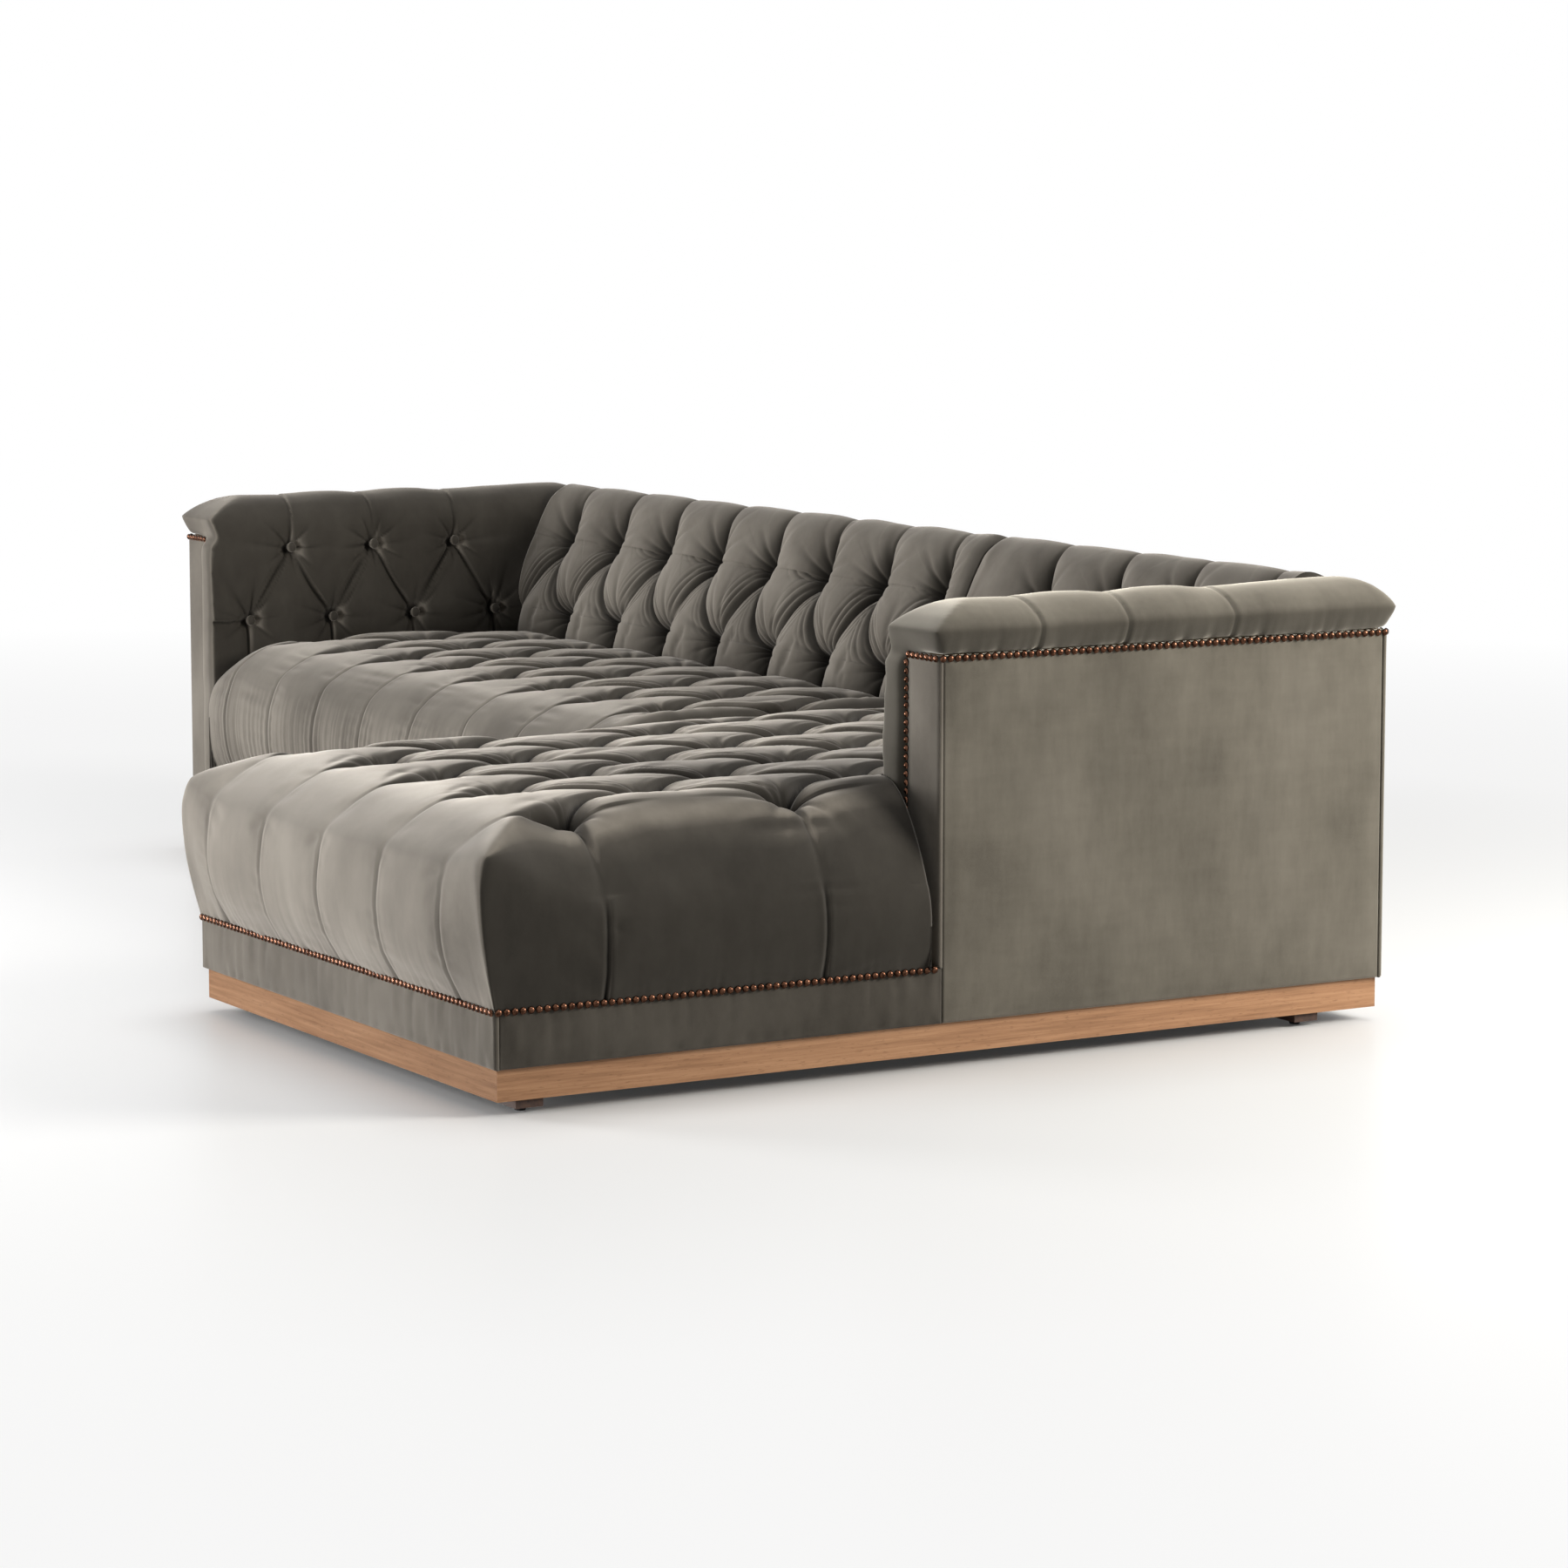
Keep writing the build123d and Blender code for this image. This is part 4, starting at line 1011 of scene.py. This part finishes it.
def toBoard(point):
    if point.z < panelZ + 0.001:
        point.y = max(point.y, boardY - 0.0005)


def backPad(section):
    left, right, upper, lower, pitch = backSpans[section]
    cfg = back["pillow"]
    total = backLength[-1]
    upperT, lowerT = backRow["upperZ"], backRow["lowerZ"]
    tufts = [(x, upperT) for x in upper] + [(x, lowerT) for x in lower]

    def run(v):
        return total * np.interp(v, back["rows"], back["rowsAt"])

    def place(u, v):
        x = left + (right - left) * u
        y = np.interp(run(v), backLength, backLine[:, 0])
        z = np.interp(run(v), backLength, backLine[:, 1])
        return np.column_stack([x, y, z])

    def pleats(x, columns, share):
        # upright pillows above the upper row or below the lower one
        phase = (x - columns[0]) / pitch
        lean = back["rollLean"]
        depth = cfg["sink"] * pillow(toPleat(phase, lean), before(phase, lean), cfg) * share
        return depth + pleatDepth(columnOff(x, columns), cfg, share)

    def depthAt(u, v, base, fine):
        x, t = base[:, 0], run(v)
        field = diamondDepth(x, t, (lower[0], lowerT), pitch, upperT - lowerT, cfg, fine)
        above = pleats(x, upper, 1 - back["rollFade"] * ease(t - upperT, 0.02, 0.16))
        below = pleats(x, lower, 1.0)
        depth = np.where(t > upperT, above, np.where(t < lowerT, below, field))
        depth += tuftDepth(x, t, tufts, cfg, 5 if section == "sofa" else 6, fine)
        depth += back["uneven"] * smoothNoise(x, t, back["unevenSize"], 41)
        # a plain rounded end where the two backs meet
        toSeam = sofaEndX - x if section == "sofa" else x - splitX
        depth *= ease(toSeam, 0, back["seamFade"])
        depth += back["seamDepth"] * np.clip(1 - toSeam / back["seamRound"], 0, 1)**2
        return depth

    def heldAt(u, v):
        x, t = left + (right - left) * u, run(v)
        lines = onColumns(x, upper) & (t > upperT) | onColumns(x, lower) & (t < lowerT)
        field = onPleats(x, t, (lower[0], lowerT), pitch, upperT - lowerT, cfg) & (t > lowerT) & (t < upperT)
        return np.maximum.reduce([onRim(u, v) | lines, 0.5 * field, nearTufts(x, t, tufts, cfg["tuftHeld"])])

    fineness = back["cell"]
    uCells, vCells = int((right - left) / fineness), int(total / fineness)
    mesh = sculpted(section + "Back", uCells, vCells, fineness, place, depthAt, heldAt)
    closeUp(mesh, toBoard, ends=(left, right))
    return show(section + "_back_cushion", mesh, backVelvet, section + "_section", [section + "_back_pad"])


backPad("sofa")
backPad("chaise")
print("back pads made")

# arm pads, from the frame's solids, softened

arm = {
    **tufting, "voxel": 0.0040, "rounds": 28,
    "upperZ": 0.607, "lowerZ": 0.464, "pitch": 0.182, "middle": 0.3125,
    "sink": 0.006, "steep": 2.0, "edge": 0.97, "lean": 0.95, "share": 0.5, "saddle": 0.0,
    "bow": (0.008, -0.006), "funnel": 0.006, "funnelReach": 0.030, "pit": 0.010, "pitWidth": 0.019,
    "slit": 0.0032, "lip": 0.0022, "lipReach": 0.012,
    "folds": 3.4, "foldWidth": 0.026, "foldSide": 0.0, "foldHeight": 0.0024,
    "fan": 0.034, "creases": 8, "creaseHeight": 0.0034, "rise": 0.2,
    "rollPleats": (0.10, -0.04, 0.08), "hem": (0.025, 0.018, 0.0012, 61),
    "uneven": 0.0012, "unevenSize": 0.06,
}
armUpper = [arm["middle"] + arm["pitch"] * k for k in (-1, 0, 1)]
armLower = [arm["middle"] + arm["pitch"] * k for k in (-1.5, -0.5, 0.5, 1.5)]
armTufts = [(y, arm["upperZ"]) for y in armUpper] + [(y, arm["lowerZ"]) for y in armLower]


def softSolid(node):
    # the node's solid, merged, remeshed finely and smoothed
    mesh = nodes[node].data.copy()
    shape = bmesh.new()
    shape.from_mesh(mesh)
    bmesh.ops.remove_doubles(shape, verts=shape.verts, dist=0.00005)
    shape.to_mesh(mesh)
    shape.free()
    rough = placed(node + "Rough", mesh)
    remesh = rough.modifiers.new("fine", "REMESH")
    remesh.mode = "VOXEL"
    remesh.voxel_size = arm["voxel"]
    graph = bpy.context.evaluated_depsgraph_get()
    fine = bpy.data.meshes.new_from_object(rough.evaluated_get(graph))
    bpy.data.objects.remove(rough)
    shape = bmesh.new()
    shape.from_mesh(fine)
    for _ in range(arm["rounds"]):
        bmesh.ops.smooth_vert(shape, verts=shape.verts, factor=0.5, use_axis_x=True, use_axis_y=True,
                              use_axis_z=True)
    shape.to_mesh(fine)
    shape.free()
    return fine


def armPad(side):
    body = "chaise_section" if side == "right" else "sofa_section"
    way = 1 if side == "right" else -1
    mesh = softSolid(side + "_arm_pad")
    points, normals = readPoints(mesh), readNormals(mesh)
    x, y, z = points.T
    lowerZ, upperZ = arm["lowerZ"], arm["upperZ"]
    inside = ease(-way * normals[:, 0], 0.2, 0.7) * ease(upperZ + 0.09 - z, 0, 0.06)
    field = diamondDepth(y, z, (armLower[0], lowerZ), arm["pitch"], upperZ - lowerZ, arm, 1)
    below = arm["sink"] * roundOff(toPleat((y - armLower[0]) / arm["pitch"]), arm["crown"])
    below += pleatDepth(columnOff(y, armLower), arm, 0.8)
    between = (z >= lowerZ) & (z <= upperZ) & (y > armLower[0]) & (y < armLower[-1])
    ahead = pleatDepth(z - lowerZ, arm, 1.0) * (y < armLower[0]) * (normals[:, 1] > -0.5)
    depth = inside * (np.where(between, field, np.where(z < lowerZ, below, 0)) + ahead)
    depth += inside * tuftDepth(y, z, armTufts, arm, 13 if side == "left" else 14, 1)
    over = ease(z, upperZ - 0.002, upperZ + 0.01)
    for column, lean in zip(armUpper, arm["rollPleats"]):
        depth += over * pleatDepth(y - column - lean * (np.abs(x) - armX), arm, 0.5)
    outer = ease(way * normals[:, 0], 0.1, 0.6)
    depth += outer * gathers(y, z - panelZ, *arm["hem"])
    depth += arm["uneven"] * smoothNoise(y, z + np.abs(x), arm["unevenSize"], 62)
    writePoints(mesh, points - normals * depth[:, None])
    keepValues(mesh, "pressed", depth)
    finish = rollVelvet if side == "right" else velvet
    return show(side + "_arm_cushion", mesh, finish, body, [side + "_arm_pad"])


armPad("left")
armPad("right")
print("arm pads made")

# velvet panels and border bands

panel = {
    "cells": 0.012, "borderCells": 0.0045, "fewestCells": 10, "crowding": 0.82,
    "round": 0.0035, "puff": 0.0022, "pucker": 0.0011, "borderPucker": 0.0022, "puckerReach": 0.035,
    "uneven": 0.0010, "unevenSize": 0.09,
    # the direction that each border's painted light and shade is taken from, on a side and on a front
    "borderLightFacing": ((0.5125, -0.1, 0), (0.55, -0.25, 0)),
    "endInset": 0.0035, "endBehind": 0.022, "seatGap": 0.003,
}
# the axis that each panel faces along, and which way
panelFaces = {
    "chaise_border_front": (1, -1), "chaise_border_right": (0, 1), "chaise_border_end": (0, -1),
    "sofa_border_front": (1, -1), "sofa_border_end": (0, 1), "right_arm_outside": (0, 1),
    "left_arm_outside": (0, -1), "right_arm_facing": (1, -1), "left_arm_facing": (1, -1),
    "sofa_outside_back": (1, 1), "chaise_outside_back": (1, 1),
    "sofa_back_end_cover": (0, 1), "chaise_back_end_cover": (0, -1),
}


def velvetPanel(node, axis, way):
    # a padded face with rounded edges, on the box of its solid
    isBorder, isEnd = "border" in node, "end_cover" in node
    lower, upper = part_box(node)
    if isEnd:
        # the part that the back cushion doesn't cover, a little inside the cushion's end
        inset, rear = panel["endInset"], low("sofa_outside_back").y
        lower = Vector((lower.x + inset * (way < 0), seat["rear"] + panel["seatGap"], padZ))
        upper = Vector((upper.x - inset * (way > 0), rear, panelZ - 0.001))
    other = 1 - axis
    span = (upper[other] - lower[other], upper.z - lower.z)
    outer, inner = (upper[axis], lower[axis]) if way > 0 else (lower[axis], upper[axis])

    def spread(part):
        # the grid's lines crowd towards the edges
        return part - panel["crowding"] * np.sin(2 * math.pi * part) / (2 * math.pi)

    def toWall(point):
        point[axis] = inner

    size = panel["borderCells" if isBorder else "cells"]
    counts = [max(panel["fewestCells"], int(length / size)) for length in span]
    mesh, u, v = gridMesh(node + "_cover", *counts, None)
    u, v = spread(u), spread(v)
    across, up = u * span[0], v * span[1]
    edge = np.minimum(np.minimum(across, span[0] - across), np.minimum(up, span[1] - up))
    radius = min(panel["round"], 0.9 * abs(outer - inner))
    turn = np.clip(radius - edge, 0, radius)
    sunk = radius - np.sqrt(np.maximum(radius**2 - turn**2, 0))
    # the nails pull the cloth in along both long edges
    pucker = panel["borderPucker" if isBorder else "pucker"]
    pull = pucker * np.exp(-(span[1] - up) / panel["puckerReach"])
    pull += 0.5 * pucker * np.exp(-up / panel["puckerReach"])
    place = across + lower[other]
    if isEnd:
        start = np.maximum(leanY(lower.z + up) + panel["endBehind"], lower.y)
        place = start + u * (upper.y - start)
    wave = smoothNoise(place, up * 0.3, 0.015, 51) + 0.6 * smoothNoise(place, up * 0.3, 0.034, 52)
    puff = panel["puff"] * ease(edge, 0, 0.03)
    puff += panel["uneven"] * smoothNoise(place, up, panel["unevenSize"], 53) * ease(edge, 0, 0.02)
    points = np.zeros((len(u), 3))
    points[:, axis] = outer + way * (puff - sunk + pull * wave * ease(edge, 0, 0.004))
    points[:, other], points[:, 2] = place, lower.z + up
    writePoints(mesh, points)
    closeUp(mesh, toWall, weldLast=False)
    body = "chaise_section" if node.startswith(("chaise", "right")) else "sofa_section"
    finish = velvet
    if "outside" in node:
        finish = leftVelvet if "left" in node or "sofa" in node else brushedVelvet
    # each panel's painted light and shade is taken from one facing direction
    facing = panel["borderLightFacing"][axis] if isBorder else [way if side == axis else 0 for side in range(3)]
    name = node.replace("_cover", "") + ("_velvet" if isEnd else "_cover")
    return show(name, mesh, finish, body, [node], facing=facing)


for node, (axis, way) in panelFaces.items():
    velvetPanel(node, axis, way)
print("velvet panels made")

# nailheads

nail = {"pitch": 0.0132, "radius": 0.0058, "height": 0.0042, "sides": 10, "rings": 6, "proud": 0.0018}


def nailMesh():
    shape = bmesh.new()
    bmesh.ops.create_uvsphere(shape, u_segments=nail["sides"], v_segments=nail["rings"],
                              radius=nail["radius"])
    bmesh.ops.bisect_plane(shape, geom=shape.verts[:] + shape.edges[:] + shape.faces[:], plane_co=(0, 0, 0),
                           plane_no=(0, 0, 1), clear_inner=True)
    bmesh.ops.scale(shape, vec=(1, 1, nail["height"] / nail["radius"]), verts=shape.verts)
    return meshOf(shape, "nail")


def nailRow(shape, one, start, stop, outward):
    start, stop, outward = Vector(start), Vector(stop), Vector(outward)
    count = max(2, round((stop - start).length / nail["pitch"]))
    turn = outward.to_track_quat("Z", "Y").to_matrix().to_4x4()
    for k in range(count):
        spot = start.lerp(stop, (k + 0.5) / count)
        already = len(shape.verts)
        shape.from_mesh(one)
        shape.verts.ensure_lookup_table()
        bmesh.ops.transform(shape, matrix=Matrix.Translation(spot) @ turn, verts=shape.verts[already:])


def nailheads(name, body, rows):
    shape = bmesh.new()
    one = nailMesh()
    for start, stop, outward in rows:
        nailRow(shape, one, start, stop, outward)
    mesh = meshOf(shape, name)
    print(name, len(mesh.polygons), "faces")
    return show(name, mesh, copper, body)


def nailsAcross(xs, y, z, way):
    return *((x, y + way * nail["proud"], z) for x in xs), (0, way, 0)


def nailsAlong(x, ys, z, way):
    return *((x + way * nail["proud"], y, z) for y in ys), (way, 0, 0)


def nailsDown(x, y, zs):
    return *((x, y - nail["proud"], z) for z in zs), (0, -1, 0)


borderZ, rollZ, facingZ = padZ - 0.001, panelZ - 0.004, panelZ - 0.010
aboveSeat, hiddenY = padZ + 0.15, sofaY - 0.06
chaiseNails = [
    nailsAcross((splitX, sideX), chaiseY, borderZ, -1),
    nailsAlong(sideX, (chaiseY, sofaY), borderZ, 1),
    nailsAlong(splitX, (chaiseY, hiddenY), borderZ, -1),
    nailsAlong(sideX, (sofaY, rearY), rollZ, 1),
    nailsAcross((facingX, sideX), sofaY, rollZ, -1),
    nailsDown(facingX, sofaY, (facingZ, aboveSeat)),
    nailsAcross((splitX, sideX), rearY, rollZ, 1),
]
sofaNails = [
    nailsAcross((-facingX, sofaEndX), sofaY, borderZ, -1),
    nailsAlong(-sideX, (sofaY, rearY), rollZ, -1),
    nailsAcross((-facingX, -sideX), sofaY, rollZ, -1),
    nailsDown(-facingX, sofaY, (facingZ, padZ)),
    nailsAcross((-sideX, sofaEndX), rearY, rollZ, 1),
]
nailheads("chaise_nailheads", "chaise_section", chaiseNails)
nailheads("sofa_nailheads", "sofa_section", sofaNails)

# covered buttons

button = {"radius": 0.0102, "height": 0.0052, "sides": 18, "rings": 10, "proud": 0.001, "armDepth": 0.012}


def pitDepth(cfg):
    return sum(cfg[key] for key in ("sink", "funnel", "pit"))


def buttonSpots(section):
    up, forward = Vector((0, 0, 1)), Vector((0, -1, back["lean"])).normalized()
    way = 1 if section == "chaise" else -1
    tufts = chaiseTufts if section == "chaise" else sofaTufts
    spots = [(Vector((x, y, crownZ - pitDepth(seat))), up) for x, y in tufts]
    _, _, upper, lower, _ = backSpans[section]
    for columns, z in ((upper, back["upperZ"]), (lower, back["lowerZ"])):
        sunk = forward * pitDepth(back["pillow"])
        spots += [(Vector((x, leanY(z), z)) - sunk, forward) for x in columns]
    inArm = way * (armX + button["armDepth"])
    return spots + [(Vector((inArm, y, z)), Vector((-way, 0, 0))) for y, z in armTufts]


def coveredButtons(section):
    shape = bmesh.new()
    flatten = Matrix.Diagonal((1, 1, button["height"] / button["radius"], 1))
    for spot, outward in buttonSpots(section):
        turn = outward.to_track_quat("Z", "Y").to_matrix().to_4x4()
        seated = Matrix.Translation(spot + outward * button["proud"]) @ turn @ flatten
        bmesh.ops.create_uvsphere(shape, u_segments=button["sides"], v_segments=button["rings"],
                                  radius=button["radius"], matrix=seated)
    mesh = meshOf(shape, section + "Buttons")
    return show(section + "_covered_buttons", mesh, velvet, section + "_section", [section + "_buttons"])


coveredButtons("chaise")
coveredButtons("sofa")
print("buttons made")

# studio, light and camera

studio = {
    "sky": 0.10, "top": 2.0, "key": 150.0, "front": 135.0, "side": 185.0,
    # the floor's tone for the camera, and for the light that it throws back
    "floorTone": 0.66, "bounce": 0.36,
    # how white the floor glows, by the distance from the middle in tens of metres
    "glow": ((0.15, 0.03), (0.30, 0.58), (0.60, 1.0)),
}


def floorMaterial():
    # white floor: what the camera sees is lifted towards white, and the shadow stays
    made, tree, shader, place = newMaterial("studio_floor")
    paths = tree.nodes.new("ShaderNodeLightPath")
    seen = Value(tree, paths.outputs["Is Camera Ray"])
    tone = mixed(seen, grey(studio["bounce"]), grey(studio["floorTone"]))
    feed(tree, shader, Base_Color=tone, Roughness=0.35, Specular_IOR_Level=0.25)
    glow = tree.nodes.new("ShaderNodeEmission")
    blend = tree.nodes.new("ShaderNodeMixShader")
    away = place.node("ShaderNodeVectorMath", {"operation": "LENGTH"}, out=1, i0=place)
    share = seen * ramp(away * 0.1, *((spot, grey(level)) for spot, level in studio["glow"]))
    tree.links.new(share.socket, blend.inputs[0])
    tree.links.new(shader.outputs[0], blend.inputs[1])
    tree.links.new(glow.outputs[0], blend.inputs[2])
    tree.links.new(blend.outputs[0], tree.nodes["Material Output"].inputs["Surface"])
    return made


shape = bmesh.new()
bmesh.ops.create_grid(shape, x_segments=4, y_segments=4, size=40)
floor = placed("floor", meshOf(shape, "floor"))
floor.data.materials.append(floorMaterial())

world = bpy.data.worlds.new("studio")
bpy.context.scene.world = world
world.use_nodes = True
sky = world.node_tree
paths = sky.nodes.new("ShaderNodeLightPath")
direct, glossy = (Value(sky, paths.outputs[kind]) for kind in ("Is Camera Ray", "Is Glossy Ray"))
seen = direct.maths("MAXIMUM", direct, glossy)
strength = seen * (1 - studio["sky"]) + studio["sky"]
background = sky.nodes["Background"]
sky.links.new(strength.socket, background.inputs["Strength"])
background.inputs["Color"].default_value = (1, 1, 1, 1)


def lamp(name, kind, aim, **settings):
    made = bpy.data.lights.new(name, kind)
    made.energy = studio[name]
    for key, setting in settings.items():
        setattr(made, key, setting)
    obj = placed(name, made)
    obj.rotation_euler = Vector(aim).to_track_quat("-Z", "Y").to_euler()
    return obj


def softbox(name, place, aim, size, tint=(1, 1, 1)):
    obj = lamp(name, "AREA", Vector(aim) - Vector(place), size=size, color=tint)
    obj.location = place


lamp("top", "SUN", (0.10, -0.10, -0.99), angle=math.radians(45))
softbox("key", (-2.3, -3.3, 1.45), (0.5, -0.2, 0.35), 1.5)
softbox("front", (0.2, -3.4, 0.14), (0.8, -0.8, 0.25), 1.0)
softbox("side", (3.4, 2.6, 1.9), (1.3, 0.4, 0.4), 1.6, (1.0, 0.97, 0.90))

view = {"azimuth": 59.537, "elevation": 7.326, "place": (7.4045, -3.8304, 1.3491), "lens": 109.12}
lens = bpy.data.cameras.new("camera")
lens.lens = view["lens"]
lens.sensor_width = 36
lens.clip_end = 200
camera = placed("camera", lens)
turn, rise = math.radians(view["azimuth"]), math.radians(view["elevation"])
behind = Vector((math.sin(turn) * math.cos(rise), -math.cos(turn) * math.cos(rise), math.sin(rise)))
camera.location = view["place"]
camera.rotation_euler = (-behind).to_track_quat("-Z", "Y").to_euler()
bpy.context.scene.camera = camera
bpy.context.scene.view_settings.view_transform = "Standard"
